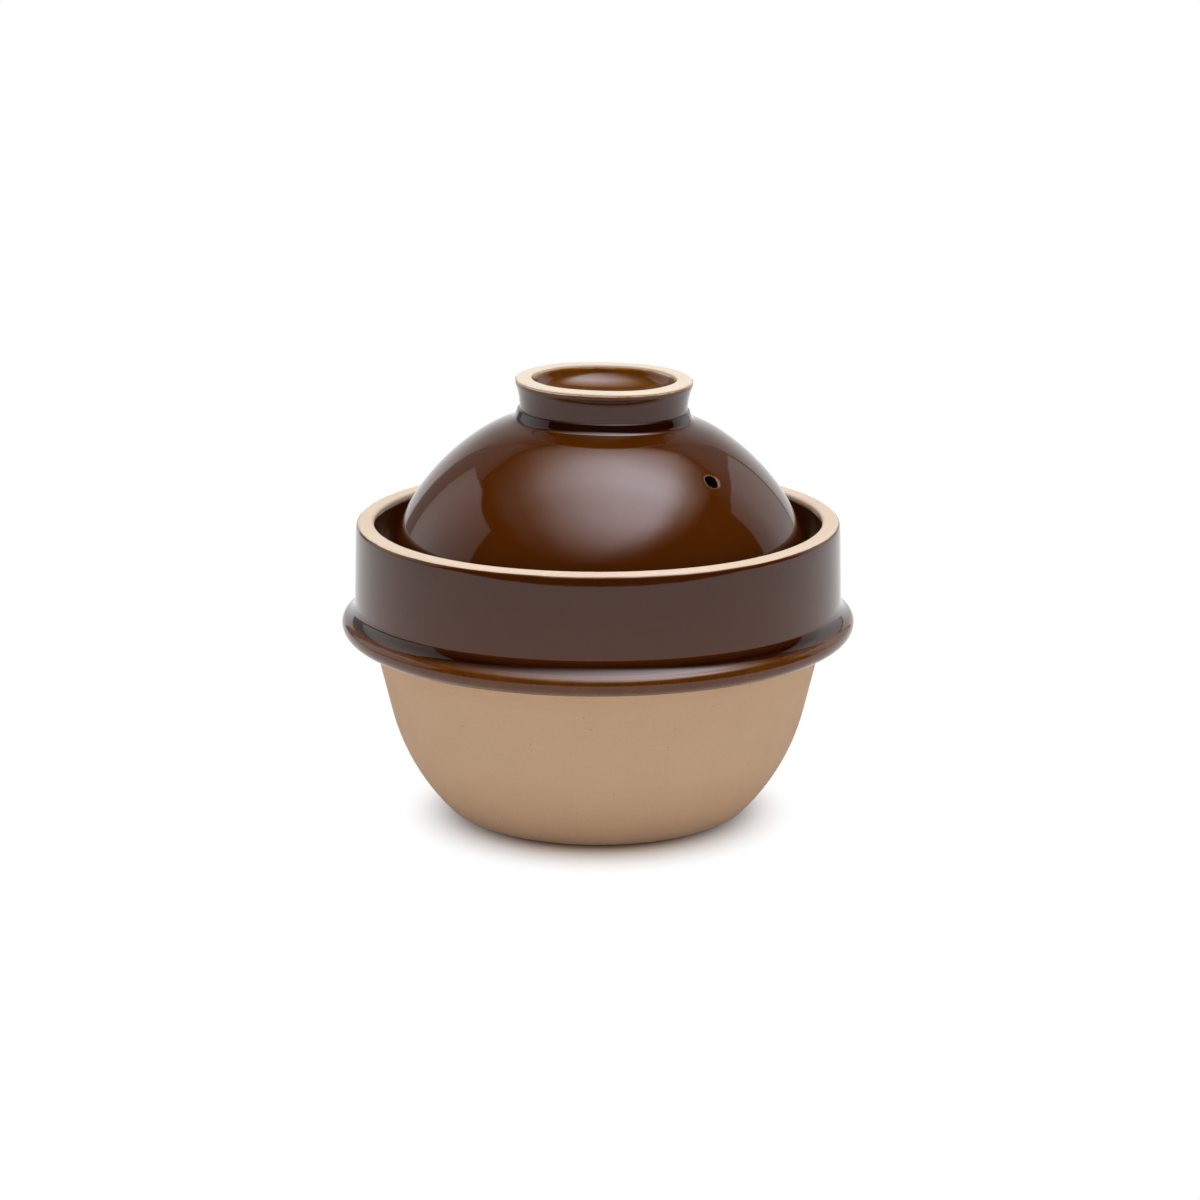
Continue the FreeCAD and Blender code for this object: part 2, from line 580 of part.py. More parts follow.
def lid_shell():
    """The lid's clay as a shell with rounded lower edges, before it is pierced."""
    outline = Outline(new_body("lid_shell"), "lid_shell_outline")
    side, wall = size("sizes.lid_side_radius"), size("sizes.lid_wall")
    lip, seat = size("sizes.lip_rounding"), size("sizes.seat_height")
    side_centre = (size("fit.lid_radius") - side, seat)
    crown_centre = (0, size("fit.crown_centre"))
    crown = size("fit.crown_radius")
    join = size("sizes.crown_join")
    outer_lip = (tangent_x(side_centre[0], side - lip, lip), seat + lip)
    inner_lip = (tangent_x(side_centre[0], side - wall + lip, lip), seat + lip)
    outer_start = angle_to(side_centre, outer_lip)
    inner_start = angle_to(side_centre, inner_lip)
    outline.line((inner_lip[0], seat), (outer_lip[0], seat))
    outline.arc(outer_lip, lip, -90, outer_start)
    outline.arc(side_centre, side, outer_start, join)
    outline.arc(crown_centre, crown, join, 90)
    outline.line((0, crown_centre[1] + crown), (0, crown_centre[1] + crown - wall))
    outline.arc(crown_centre, crown - wall, 90, join)
    outline.arc(side_centre, side - wall, join, inner_start)
    outline.arc(inner_lip, lip, inner_start + 180, 270)
    outline.close(smooth=[0, 1, 2, 5, 6, 7])
    outline.level(0)
    outline.up(0, "start", "bottom", "sizes.seat_height")
    outline.radius(1, "outer_lip", "sizes.lip_rounding")
    outline.across(2, "centre", "side_centre", "fit.lid_radius - sizes.lid_side_radius")
    outline.up(2, "centre", "side_height", "sizes.seat_height")
    outline.radius(2, "side_radius", "sizes.lid_side_radius")
    outline.on_axis(3, "centre")
    outline.up(3, "centre", "crown_centre", "fit.crown_centre")
    outline.on_axis(4, "start")
    outline.on_axis(4, "end")
    outline.on_axis(5, "centre")
    outline.up(5, "centre", "inner_crown_centre", "fit.crown_centre")
    outline.across(6, "centre", "inner_side_centre", "fit.lid_radius - sizes.lid_side_radius")
    outline.up(6, "centre", "inner_side_height", "sizes.seat_height")
    outline.radius(6, "inner_side_radius", "sizes.lid_side_radius - sizes.lid_wall")
    outline.radius(7, "inner_lip", "sizes.lip_rounding")
    outline.turn()
    return move_lid(outline.body)


def move_lid(form):
    form.setExpression("Placement", "placement(vector(sizes.lid_offset; 0; 0); rotation(0; 0; 0))")
    return form


# The knob ring and the steam hole are drawn about the centre of the crown's ball, so
# that they stay square to the crown when they are tipped over

def tip_knob(form):
    """Moves a form to the crown's centre and leans it to the right like the knob ring."""
    form.setExpression("Placement", "placement(vector(sizes.lid_offset; 0; fit.crown_centre);"
                       " rotation(vector(0; 1; 0); sizes.knob_lean))")
    return form


def tip_steam_hole(form):
    """Moves a form to the crown's centre and points it at the steam hole."""
    form.setExpression("Placement", "placement(vector(sizes.lid_offset; 0; fit.crown_centre);"
                       " rotation(vector(sin(sizes.steam_hole_turn); cos(sizes.steam_hole_turn); 0);"
                       " sizes.steam_hole_tip))")
    return form


def knob_form():
    """The knob ring filled up to its top, and down into the dome."""
    outline = Outline(new_body("knob_form"), "knob_outline")
    crown, drop = size("fit.crown_radius"), size("sizes.knob_waist_drop")
    flare, edge = size("sizes.knob_flare"), size("sizes.knob_rounding")
    bottom, top = size("fit.crown_radius - 2 * sizes.cut_margin"), crown + size("sizes.knob_height")
    flare_centre = (size("sizes.knob_waist") + flare, crown - drop)
    foot = (flare_centre[0] - math.sqrt(flare ** 2 - (bottom - flare_centre[1]) ** 2), bottom)
    edge_rise = top - edge - flare_centre[1]
    edge_centre = (flare_centre[0] - math.sqrt((flare + edge) ** 2 - edge_rise ** 2), top - edge)
    edge_start = angle_to(edge_centre, flare_centre)
    outline.line((0, bottom), foot)
    outline.arc(flare_centre, flare, angle_to(flare_centre, foot) % 360, edge_start + 180)
    outline.arc(edge_centre, edge, edge_start, 90)
    outline.line((edge_centre[0], top), (0, top))
    outline.line((0, top), (0, bottom))
    outline.close(smooth=[1, 2])
    outline.level(0, 3)
    outline.upright(4)
    outline.on_axis(0, "start")
    outline.up(0, "start", "bottom", "fit.crown_radius - 2 * sizes.cut_margin")
    outline.across(1, "centre", "flare_centre", "sizes.knob_waist + sizes.knob_flare")
    outline.up(1, "centre", "waist_height", "fit.crown_radius - sizes.knob_waist_drop")
    outline.radius(1, "flare", "sizes.knob_flare")
    outline.radius(2, "edge_rounding", "sizes.knob_rounding")
    outline.up(3, "start", "top", "fit.crown_radius + sizes.knob_height")
    outline.turn()
    return tip_knob(outline.body)


def knob_glaze_coat():
    """The glaze on the knob ring, which pools round its foot and runs onto the crown."""
    outline = Outline(new_body("knob_coat"), "knob_coat_outline")
    crown, glaze = size("fit.crown_radius"), size("sizes.glaze")
    pool, flare = size("sizes.knob_foot"), size("sizes.knob_flare")
    flare_centre = (size("sizes.knob_waist + sizes.knob_flare"),
                    crown - size("sizes.knob_waist_drop"))
    top = crown + size("sizes.knob_height - sizes.knob_bare")
    ball = crown + glaze
    # The pool touches the crown's glaze and the ring's glaze; halving finds its centre
    outer, inner = 45.0, 90.0
    for _ in range(60):
        pool_turn = (outer + inner) / 2
        pool_centre = off((0, 0), ball + pool, pool_turn)
        if math.dist(pool_centre, flare_centre) < flare - glaze - pool:
            outer = pool_turn
        else:
            inner = pool_turn
    side_foot = angle_to(flare_centre, pool_centre) % 360
    skin_top = 180 - math.degrees(math.asin((top - flare_centre[1]) / (flare - glaze)))
    clay_top = 180 - math.degrees(math.asin((top - flare_centre[1]) / flare))
    skirt_turn = 90 - size("sizes.knob_skirt")
    # Where the ring's clay side meets the crown
    span = math.hypot(*flare_centre)
    along = (crown ** 2 - flare ** 2 + span ** 2) / (2 * span)
    clay_turn = angle_to((0, 0), flare_centre) + math.degrees(math.acos(along / crown))
    clay_foot = off((0, 0), crown, clay_turn)
    outline.line(off(flare_centre, flare, clay_top), off(flare_centre, flare - glaze, skin_top))
    outline.arc(flare_centre, flare - glaze, skin_top, side_foot)
    outline.arc(pool_centre, pool, side_foot, pool_turn + 180)
    outline.arc((0, 0), ball, pool_turn, skirt_turn)
    outline.line(off((0, 0), ball, skirt_turn), off((0, 0), crown, skirt_turn))
    outline.arc((0, 0), crown, skirt_turn, clay_turn)
    outline.arc(flare_centre, flare, angle_to(flare_centre, clay_foot) % 360, clay_top)
    outline.close(smooth=[1, 2])
    sketch = outline.sketch
    outline.level(0)
    outline.up(0, "start", "top", "fit.crown_radius + sizes.knob_height - sizes.knob_bare")
    for number, name, formula in [(1, "skin", "sizes.knob_flare - sizes.glaze"),
                                  (6, "clay", "sizes.knob_flare")]:
        outline.across(number, "centre", name + "_centre", "sizes.knob_waist + sizes.knob_flare")
        outline.up(number, "centre", name + "_waist", "fit.crown_radius - sizes.knob_waist_drop")
        outline.radius(number, name + "_flare", formula)
    outline.radius(2, "foot_pool", "sizes.knob_foot")
    for number, name, formula in [(3, "skin_ball", "fit.crown_radius + sizes.glaze"),
                                  (5, "clay_ball", "fit.crown_radius")]:
        centre = outline.point(number, "centre")
        sketch.addConstraint(Sketcher.Constraint("Coincident", *centre, *ORIGIN))
        outline.radius(number, name, formula)
    outline.slope(4, "skirt_slope", "-90 - sizes.knob_skirt")
    skirt = outline.pieces[4][0]
    sketch.addConstraint(Sketcher.Constraint("PointOnObject", *ORIGIN, skirt))
    outline.turn()
    return tip_knob(outline.body)


def knob_cone():
    """Everything nearer the knob's axis than the edge of its coat, seen from the crown's centre."""
    cone = doc.addObject("Part::Cone", "knob_cone")
    cone.setExpression("Radius1", "0")
    cone.setExpression("Height", "fit.crown_radius + sizes.cut_margin")
    cone.setExpression("Radius2", "(fit.crown_radius + sizes.cut_margin) * tan(sizes.knob_skirt)")
    return tip_knob(cone)


def well_space(name, inset):
    """The well in the knob ring: a dish with a rounded floor, drawn in by inset."""
    outline = Outline(new_body(name), name + "_outline")
    inward = size(inset)
    well, corner = size("sizes.well_radius"), size("sizes.well_corner")
    edge = size("sizes.well_rounding")
    floor = size("fit.crown_radius - sizes.well_sink")
    top = size("fit.crown_radius + sizes.knob_height")
    outline.line((0, floor + inward), (well - corner, floor + inward))
    outline.arc((well - corner, floor + corner), corner - inward, -90, 0)
    outline.line((well - inward, floor + corner), (well - inward, top - edge))
    outline.arc((well + edge, top - edge), edge + inward, 180, 90)
    outline.line((well + edge, top + inward), (0, top + inward))
    outline.line((0, top + inward), (0, floor + inward))
    outline.close(smooth=[0, 1, 2, 3])
    outline.level(0, 4)
    outline.upright(2, 5)
    outline.on_axis(5, "end")
    outline.up(0, "start", "floor", "fit.crown_radius - sizes.well_sink + " + inset)
    outline.radius(1, "well_corner", "sizes.well_corner - (%s)" % inset)
    outline.across(1, "centre", "corner_centre", "sizes.well_radius - sizes.well_corner")
    outline.radius(3, "well_rounding", "sizes.well_rounding + " + inset)
    outline.up(4, "start", "top", "fit.crown_radius + sizes.knob_height + " + inset)
    outline.turn()
    return tip_knob(outline.body)


def steam_space():
    """The steam hole, from the crown's centre outwards, with a chamfered outer edge."""
    outline = Outline(new_body("steam_space"), "steam_outline")
    bore, chamfer = size("sizes.steam_hole_diameter / 2"), size("sizes.steam_hole_chamfer")
    neck = size("fit.crown_radius - sizes.steam_hole_chamfer")
    top = size("fit.crown_radius + sizes.cut_margin")
    outline.line((0, 0), (bore, 0))
    outline.line((bore, 0), (bore, neck))
    outline.line((bore, neck), (bore + top - neck, top))
    outline.line((bore + top - neck, top), (0, top))
    outline.line((0, top), (0, 0))
    outline.close(smooth=[])
    outline.level(0, 3)
    outline.upright(1, 4)
    outline.sketch.addConstraint(Sketcher.Constraint("Coincident", *outline.point(0, "start"), *ORIGIN))
    outline.across(1, "start", "bore_radius", "sizes.steam_hole_diameter / 2")
    outline.up(1, "end", "neck", "fit.crown_radius - sizes.steam_hole_chamfer")
    outline.slope(2, "chamfer_slope", "45")
    outline.up(3, "start", "top", "fit.crown_radius + sizes.cut_margin")
    outline.turn()
    return tip_steam_hole(outline.body)


def steam_skin_space():
    """The round spot at the steam hole that the glaze leaves bare."""
    spot = doc.addObject("Part::Cylinder", "steam_skin_space")
    spot.setExpression("Radius", "sizes.steam_hole_diameter / 2 + sizes.steam_hole_bare")
    spot.setExpression("Height", "fit.crown_radius + sizes.cut_margin")
    return tip_steam_hole(spot)


def drum(name, radius, bottom, top):
    """A plain round slab between two heights, which shows where a coat of glaze lies."""
    slab = doc.addObject("Part::Cylinder", name)
    slab.setExpression("Radius", radius)
    slab.setExpression("Height", "(%s) - (%s)" % (top, bottom))
    slab.setExpression("Placement",
                       "placement(vector(0; 0; %s); rotation(vector(0; 0; 1); 0))" % bottom)
    return slab


def fuse(name, forms):
    joined = doc.addObject("Part::MultiFuse", name)
    joined.Label = name
    joined.Shapes = forms
    joined.Refine = True
    return joined


def common(name, form, tool):
    """What two forms share."""
    shared = doc.addObject("Part::Common", name)
    shared.Label = name
    shared.Base = form
    shared.Tool = tool
    return shared


# Pot: the bowl, the collar with its ledge luted on at the shoulder, the flange luted round
# both, and three glaze coats

pot = pot_form()
bore = bore_space("bore_space", "0")
bore_core = bore_space("bore_core", "sizes.glaze")
bowl = bowl_space("bowl_space", "0", "sizes.seat_height + sizes.cut_margin")
bowl_hollow = bowl_space("bowl_hollow", "0", "sizes.seat_height - sizes.seat_lip / 2")
bowl_core = bowl_space("bowl_core", "sizes.glaze", "sizes.seat_height - sizes.seat_lip / 2")
flange = flange_form()
collar_coat = collar_skin()
bore_band = drum("bore_band", "fit.collar_radius", "sizes.seat_height + sizes.seat_corner",
                 "sizes.rim_height - sizes.rim_rounding")
collar_band = drum("collar_band", "fit.flange_radius", "sizes.flange_height - sizes.shoulder_drop",
                   "sizes.rim_height + sizes.cut_margin")
pot_wall = cut("pot_wall", pot, [bore, bowl, nose_edge(), foot_space()])
pot_bowl = cut("pot_bowl", pot_wall, [collar_band])
pot_collar = common("pot_collar", pot_wall, collar_band)
pot_flange = cut("pot_flange", flange, [pot])
collar_glaze = cut("collar_glaze", collar_coat, [pot, flange])
collar_inner_glaze = common("collar_inner_glaze", cut("bore_coat", bore, [bore_core]), bore_band)
bowl_glaze = cut("bowl_glaze", bowl_hollow, [bowl_core])

# Lid: the domed shell, the ring luted on as a knob, and three glaze coats

dome_filled = dome("dome_filled", "0", "sizes.seat_height")
dome_coat = dome("dome_coat", "sizes.glaze", "sizes.seat_height + sizes.lip_bare")
inner_hollow = dome("inner_hollow", "-sizes.lid_wall", "sizes.seat_height + sizes.lip_bare")
inner_core = dome("inner_core", "-sizes.lid_wall - sizes.glaze",
                  "sizes.seat_height + sizes.lip_bare")
knob_filled = knob_form()
well = well_space("well_space", "0")
well_core = well_space("well_core", "sizes.glaze")
steam = steam_space()
steam_skin = steam_skin_space()
well_band = tip_knob(drum("well_band", "sizes.knob_waist", "0", "0"))
well_band.setExpression("Height", "fit.crown_radius + sizes.knob_height - sizes.well_rounding")
lid_dome = cut("lid_dome", lid_shell(), [well, steam])
knob_ring = cut("knob_ring", knob_filled, [dome_filled, well])
dome_glaze = cut("dome_glaze", dome_coat, [dome_filled, knob_cone(), steam_skin])
lid_glaze = fuse("lid_glaze", [dome_glaze, knob_glaze_coat()])
knob_well_glaze = common("knob_well_glaze", cut("well_coat", well, [well_core]), well_band)
lid_inner_glaze = cut("lid_inner_glaze", inner_hollow, [inner_core, steam_skin])

NODES = [pot_bowl, pot_collar, pot_flange, collar_glaze, collar_inner_glaze, bowl_glaze,
         lid_dome, knob_ring, lid_glaze, knob_well_glaze, lid_inner_glaze]

doc.recompute()
for made in doc.Objects:
    if "Invalid" in made.State or "Error" in made.State:
        raise RuntimeError("%s was not built: %s" % (made.Label, made.State))
    if made.TypeId == "Sketcher::SketchObject" and not made.FullyConstrained:
        raise RuntimeError("%s has free points" % made.Label)
for node in NODES:
    if node.Shape.isNull() or not node.Shape.isValid() or len(node.Shape.Solids) != 1:
        raise RuntimeError("%s is not one sound solid" % node.Label)

os.makedirs("parts", exist_ok=True)
for node in NODES:
    node.Shape.exportStep("parts/%s.step" % node.Label)
    box = node.Shape.BoundBox
    print("%-20s %10.1f mm3  z %7.2f to %7.2f" % (node.Label, node.Shape.Volume, box.ZMin, box.ZMax))
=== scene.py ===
import math

import bmesh
import bpy
import numpy as np
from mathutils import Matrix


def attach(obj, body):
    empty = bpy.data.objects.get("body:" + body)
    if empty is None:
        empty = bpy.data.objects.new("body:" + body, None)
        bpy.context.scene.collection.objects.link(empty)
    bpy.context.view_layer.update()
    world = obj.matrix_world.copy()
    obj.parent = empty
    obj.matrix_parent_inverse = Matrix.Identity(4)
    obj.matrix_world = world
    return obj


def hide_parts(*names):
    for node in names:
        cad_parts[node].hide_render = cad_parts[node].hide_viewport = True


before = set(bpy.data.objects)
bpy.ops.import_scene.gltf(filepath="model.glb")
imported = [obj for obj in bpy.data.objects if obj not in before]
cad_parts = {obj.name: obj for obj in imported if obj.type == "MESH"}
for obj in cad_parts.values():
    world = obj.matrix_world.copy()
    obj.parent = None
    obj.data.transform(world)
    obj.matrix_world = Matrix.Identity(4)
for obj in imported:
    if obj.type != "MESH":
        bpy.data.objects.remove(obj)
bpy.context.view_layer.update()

# A clay rice cooker. Every piece is a turned form, so each one is a grid of points: its
# rows follow a profile (radius and height, in millimetres) and its columns go once round.

MM = 0.001

# Sizes in millimetres, and angles in degrees unless they are turned into radians here. Those
# of the clay and of the glaze's thickness are the same as in the CAD source. The step, the sag,
# the well's corner and the steam hole's exact place and chamfer are finish, and only here.
GLAZE = 0.35
BELLY_RADIUS, BELLY_CENTRE = 65.1, 45.9
WALL_LEAN = math.radians(13.3)
BOWL_WALL = 6.3
FLOOR_THICKNESS, FLOOR_CORNER = 9.0, 14.0
FOOT_ROUNDING = 3.6
FOOT_HOLLOW_RADIUS, FOOT_HOLLOW_DEPTH = 36.0, 1.2
RIM_HEIGHT, SEAT_HEIGHT, FLANGE_HEIGHT = 89.2, 69.0, 58.1
SHOULDER_DROP, SHOULDER_STEP = 4.2, 5.1
COLLAR_WALL, COLLAR_FLARE = 6.4, 0.4
RIM_WIDTH, RIM_ROUNDING = 5.1, 0.9
RIM_SWEEP, RIM_CURL = 30.0, 7.0
SEAT_WIDTH, SEAT_LIP, SEAT_CORNER = 9.0, 6.5, 1.8
SEAT_SLOPE = math.radians(50)
NOSE_ROUNDING, POCKET_ROUNDING = 2.0, 5.0
FLANGE_REACH, FLANGE_TOP_ROUNDING, FLANGE_BOTTOM_ROUNDING = 3.8, 2.25, 3.4
FLANGE_SLOPE, FLANGE_FILLET, FILLET_BITE = 12.0, 3.2, 0.15
FLANGE_LUTING = 1.4
GLAZE_POOL = 5.7
GLAZE_REACH, GLAZE_MARGIN = 72.0, 6
RIM_GLAZED = 50
LID_SIDE_GAP, LID_SIDE_RADIUS, LID_WALL = 2.9, 49.3, 6.0
CROWN_JOIN = 36.0
LIP_ROUNDING, LIP_BARE = 1.2, 2.5
# How far below that bare band's end the coat's skin and its clay start
SKIN_START, CLAY_START = 1.0, 2.0
LID_OFFSET = 0.45
KNOB_LEAN = math.radians(1.05)
KNOB_HEIGHT, KNOB_WAIST, KNOB_WAIST_DROP, KNOB_FLARE = 6.35, 24.98, 2.85, 20.45
KNOB_ROUNDING = 0.8
# How far below the ring's top the coat's skin and its clay end
SKIN_END, CLAY_END = 0.75, 0.5
KNOB_FOOT = 118.0
# Where the ring's side meets the crown, and how far up the crown's clay goes under the ring
RING_ANGLE, UNDER_RING_ANGLE = 66.7, 76.5
# The low step round the ring's foot, and how far the crown sags towards it
STEP_RADIUS, STEP_DROP, STEP_EDGE, STEP_CORNER = 26.05, 3.05, 0.3, 0.25
STEP_LEAN, STEP_FILLET = 20.0, 2.3
SAG, SAG_REACH = 0.54, 10.5
# The well in the ring has an elliptical corner. The clay round it leaves a hollow in the middle
# for the lid's clay.
WELL_RADIUS, WELL_SINK, WELL_ROUNDING = 21.9, 1.8, 0.5
WELL_CORNER_WIDE, WELL_CORNER_HIGH = 13.5, 7.4
WELL_HEART, WELL_HEART_SINK, WELL_HEART_ROWS = 14.5, 1.5, 20
LID_TOP_RADIUS = 15.0
# The steam hole's places: round the lid from +X, and down from the lid's top
HOLE_RADIUS, HOLE_CHAMFER = 2.2, 0.2
HOLE_TURN, HOLE_TIP = -45.1, 43.5

# Sizes that follow from those
SHOULDER_HEIGHT = FLANGE_HEIGHT - SHOULDER_DROP
BOWL_TOP = (BELLY_RADIUS + (FLANGE_HEIGHT - SHOULDER_DROP - BELLY_CENTRE)
            * math.sin(WALL_LEAN)) / math.cos(WALL_LEAN)
COLLAR_RADIUS = BOWL_TOP + SHOULDER_STEP
BORE_RADIUS = COLLAR_RADIUS - COLLAR_WALL
BORE_RIM = BORE_RADIUS + COLLAR_FLARE
RIM_RADIUS = BORE_RIM + RIM_WIDTH
NOSE_RADIUS = BORE_RADIUS - SEAT_WIDTH
FLANGE_RADIUS = COLLAR_RADIUS + FLANGE_REACH
LID_RADIUS = BORE_RADIUS - 2 * GLAZE - LID_SIDE_GAP
JOIN = math.radians(CROWN_JOIN)
CROWN_RADIUS = (LID_RADIUS - LID_SIDE_RADIUS * (1 - math.cos(JOIN))) / math.cos(JOIN)
CROWN_CENTRE = SEAT_HEIGHT - (CROWN_RADIUS - LID_SIDE_RADIUS) * math.sin(JOIN)
COLLAR_LEAN = math.degrees(math.atan2(COLLAR_RADIUS - RIM_RADIUS,
                                      RIM_HEIGHT - RIM_ROUNDING - FLANGE_HEIGHT))
# Centres of the belly, the crown and the flange's two roundings, each as radius and height
BELLY, DOME = (0, BELLY_CENTRE), (0, CROWN_CENTRE)
LOWER = (FLANGE_RADIUS - FLANGE_BOTTOM_ROUNDING, FLANGE_HEIGHT)
UPPER = (FLANGE_RADIUS - FLANGE_TOP_ROUNDING, FLANGE_HEIGHT)

# Grid of points
COLUMNS = 512
SPACING = 0.75
CROWN_STEP = 0.5

# The slight unevenness of a turned pot, sideways and downwards, which is full this far out
UNEVEN_SIDE, UNEVEN_DOWN, UNEVEN_FROM = 0.06, 0.04, 20
# The lid's top leans with the ring: fully up to this many degrees from its middle, then fading
LEAN_END, LEAN_FADE = 36, 9
# Edges sharper than this many degrees aren't smoothed
SHARP_EDGE = 38


# Profiles

def off(centre, reach, angle):
    turn = math.radians(angle)
    return (centre[0] + reach * math.cos(turn), centre[1] + reach * math.sin(turn))


def angle_to(centre, point):
    return math.degrees(math.atan2(point[1] - centre[1], point[0] - centre[0]))


def arc(centre, radius, first, last, spacing=SPACING):
    """Points on an arc, both ends included; a small arc still gets enough of them."""
    length = radius * math.radians(abs(last - first))
    count = max(math.ceil(length / spacing), math.ceil(abs(last - first) / 9), 2)
    return [off(centre, radius, first + (last - first) * i / count) for i in range(count + 1)]


def line(start, end, spacing=SPACING):
    count = max(math.ceil(math.dist(start, end) / spacing), 1)
    return [(start[0] + (end[0] - start[0]) * i / count,
             start[1] + (end[1] - start[1]) * i / count) for i in range(count + 1)]


def path(*parts):
    """Joins parts end to end, with a straight line where they don't meet."""
    parts = [[tuple(point) for point in part] for part in parts]
    points = parts[0]
    for part in parts[1:]:
        gap = math.dist(points[-1], part[0])
        if gap > SPACING:
            points += line(points[-1], part[0])[1:-1]
        points += part[1:] if gap < 1e-6 else part
    return np.array(points)


def bowl_inside(inset, top):
    """The bowl's inner profile, from the middle of the floor up to the given height."""
    ball = BELLY_RADIUS - BOWL_WALL
    corner = (math.sqrt((ball - FLOOR_CORNER) ** 2
                        - (FLOOR_THICKNESS + FLOOR_CORNER - BELLY_CENTRE) ** 2),
              FLOOR_THICKNESS + FLOOR_CORNER)
    nose = (NOSE_RADIUS + NOSE_ROUNDING, SEAT_HEIGHT - SEAT_LIP)
    lean, slope = math.degrees(WALL_LEAN), math.degrees(SEAT_SLOPE)
    from_wall = ball - POCKET_ROUNDING - BELLY_CENTRE * math.sin(WALL_LEAN)
    under = (nose[0] * math.sin(SEAT_SLOPE) + nose[1] * math.cos(SEAT_SLOPE)
             - NOSE_ROUNDING - POCKET_ROUNDING)
    spread = math.cos(WALL_LEAN - SEAT_SLOPE)
    pocket = ((from_wall * math.cos(SEAT_SLOPE) + under * math.sin(WALL_LEAN)) / spread,
              (under * math.cos(WALL_LEAN) - from_wall * math.sin(SEAT_SLOPE)) / spread)
    start = angle_to(BELLY, corner)
    floor = FLOOR_THICKNESS + inset
    return path(
        line((0, floor), (corner[0], floor)),
        arc(corner, FLOOR_CORNER - inset, -90, start),
        arc(BELLY, ball - inset, start, -lean),
        arc(pocket, POCKET_ROUNDING - inset, -lean, 90 - slope),
        arc(nose, NOSE_ROUNDING + inset, 270 - slope, 180),
        [(NOSE_RADIUS - inset, top)],
    )


def bowl_outside():
    """The bowl's outer profile, from the middle of the base up to the shoulder."""
    foot = (math.sqrt((BELLY_RADIUS - FOOT_ROUNDING) ** 2 - (FOOT_ROUNDING - BELLY_CENTRE) ** 2),
            FOOT_ROUNDING)
    start = angle_to(BELLY, foot)
    hollow = FOOT_HOLLOW_RADIUS
    return path(
        line((0, FOOT_HOLLOW_DEPTH), (hollow, FOOT_HOLLOW_DEPTH)),
        [(hollow + FOOT_HOLLOW_DEPTH, 0)],
        arc(foot, FOOT_ROUNDING, -90, start),
        arc(BELLY, BELLY_RADIUS, start, -math.degrees(WALL_LEAN)),
        [(BOWL_TOP, SHOULDER_HEIGHT)],
    )


def rim_curve(outward, last):
    """The end of the collar's wall, which curls in a little, and the rim's outer edge."""
    lean, end = math.radians(COLLAR_LEAN), COLLAR_LEAN + RIM_CURL
    hang = RIM_SWEEP - (RIM_SWEEP - RIM_ROUNDING) * math.cos(math.radians(RIM_CURL))
    edge = (RIM_RADIUS - hang / math.cos(lean), RIM_HEIGHT - RIM_ROUNDING)
    sweep = off(edge, RIM_ROUNDING - RIM_SWEEP, end)
    return path(arc(sweep, RIM_SWEEP + outward, COLLAR_LEAN, end, 0.4),
                arc(edge, RIM_ROUNDING + outward, end, last, 0.2))


def collar_outside():
    """The collar's outer clay, from the shoulder up to the middle of the rim."""
    return path(
        [(BOWL_TOP, SHOULDER_HEIGHT)],
        [(COLLAR_RADIUS, FLANGE_HEIGHT)],
        rim_curve(0, 90),
    )


def collar_inside():
    """The collar's inner clay, from the rim down over the ledge to its inner edge."""
    return path(
        arc((BORE_RIM + RIM_ROUNDING, RIM_HEIGHT - RIM_ROUNDING), RIM_ROUNDING, 90, 180),
        arc((BORE_RADIUS - SEAT_CORNER, SEAT_HEIGHT + SEAT_CORNER), SEAT_CORNER, 0, -90),
        arc((NOSE_RADIUS + NOSE_ROUNDING, SEAT_HEIGHT - NOSE_ROUNDING), NOSE_ROUNDING, 90, 180),
    )


def flange_under():
    """The flange's underside, from the bowl's wall out to the edge, with a hollow radius."""
    slope = math.radians(FLANGE_SLOPE)
    from_wall = BELLY_RADIUS + FLANGE_FILLET - FILLET_BITE - BELLY_CENTRE * math.sin(WALL_LEAN)
    below = (FLANGE_BOTTOM_ROUNDING + FLANGE_FILLET + math.sin(slope) * LOWER[0]
             - math.cos(slope) * LOWER[1])
    spread = -math.cos(slope + WALL_LEAN)
    fillet = ((below * math.sin(WALL_LEAN) - from_wall * math.cos(slope)) / spread,
              (below * math.cos(WALL_LEAN) - from_wall * math.sin(slope)) / spread)
    return path(
        arc(fillet, FLANGE_FILLET, 180, 90 + FLANGE_SLOPE),
        arc(LOWER, FLANGE_BOTTOM_ROUNDING, FLANGE_SLOPE - 90, 0),
    )


def flange_clay():
    """The flange's closed profile, with its inner side buried in the pot's wall."""
    under = flange_under()
    buried = BOWL_TOP - BOWL_WALL / 2
    top = FLANGE_HEIGHT + FLANGE_TOP_ROUNDING
    high = top + 2 * FLANGE_LUTING
    return path(
        [(buried, under[0][1])],
        under,
        arc(UPPER, FLANGE_TOP_ROUNDING, 0, 90),
        [(COLLAR_RADIUS + FLANGE_LUTING, top)],
        [(COLLAR_RADIUS - FLANGE_LUTING, high)],
        [(buried, high)],
        line((buried, high), (buried, under[0][1]))[:-1],
    )


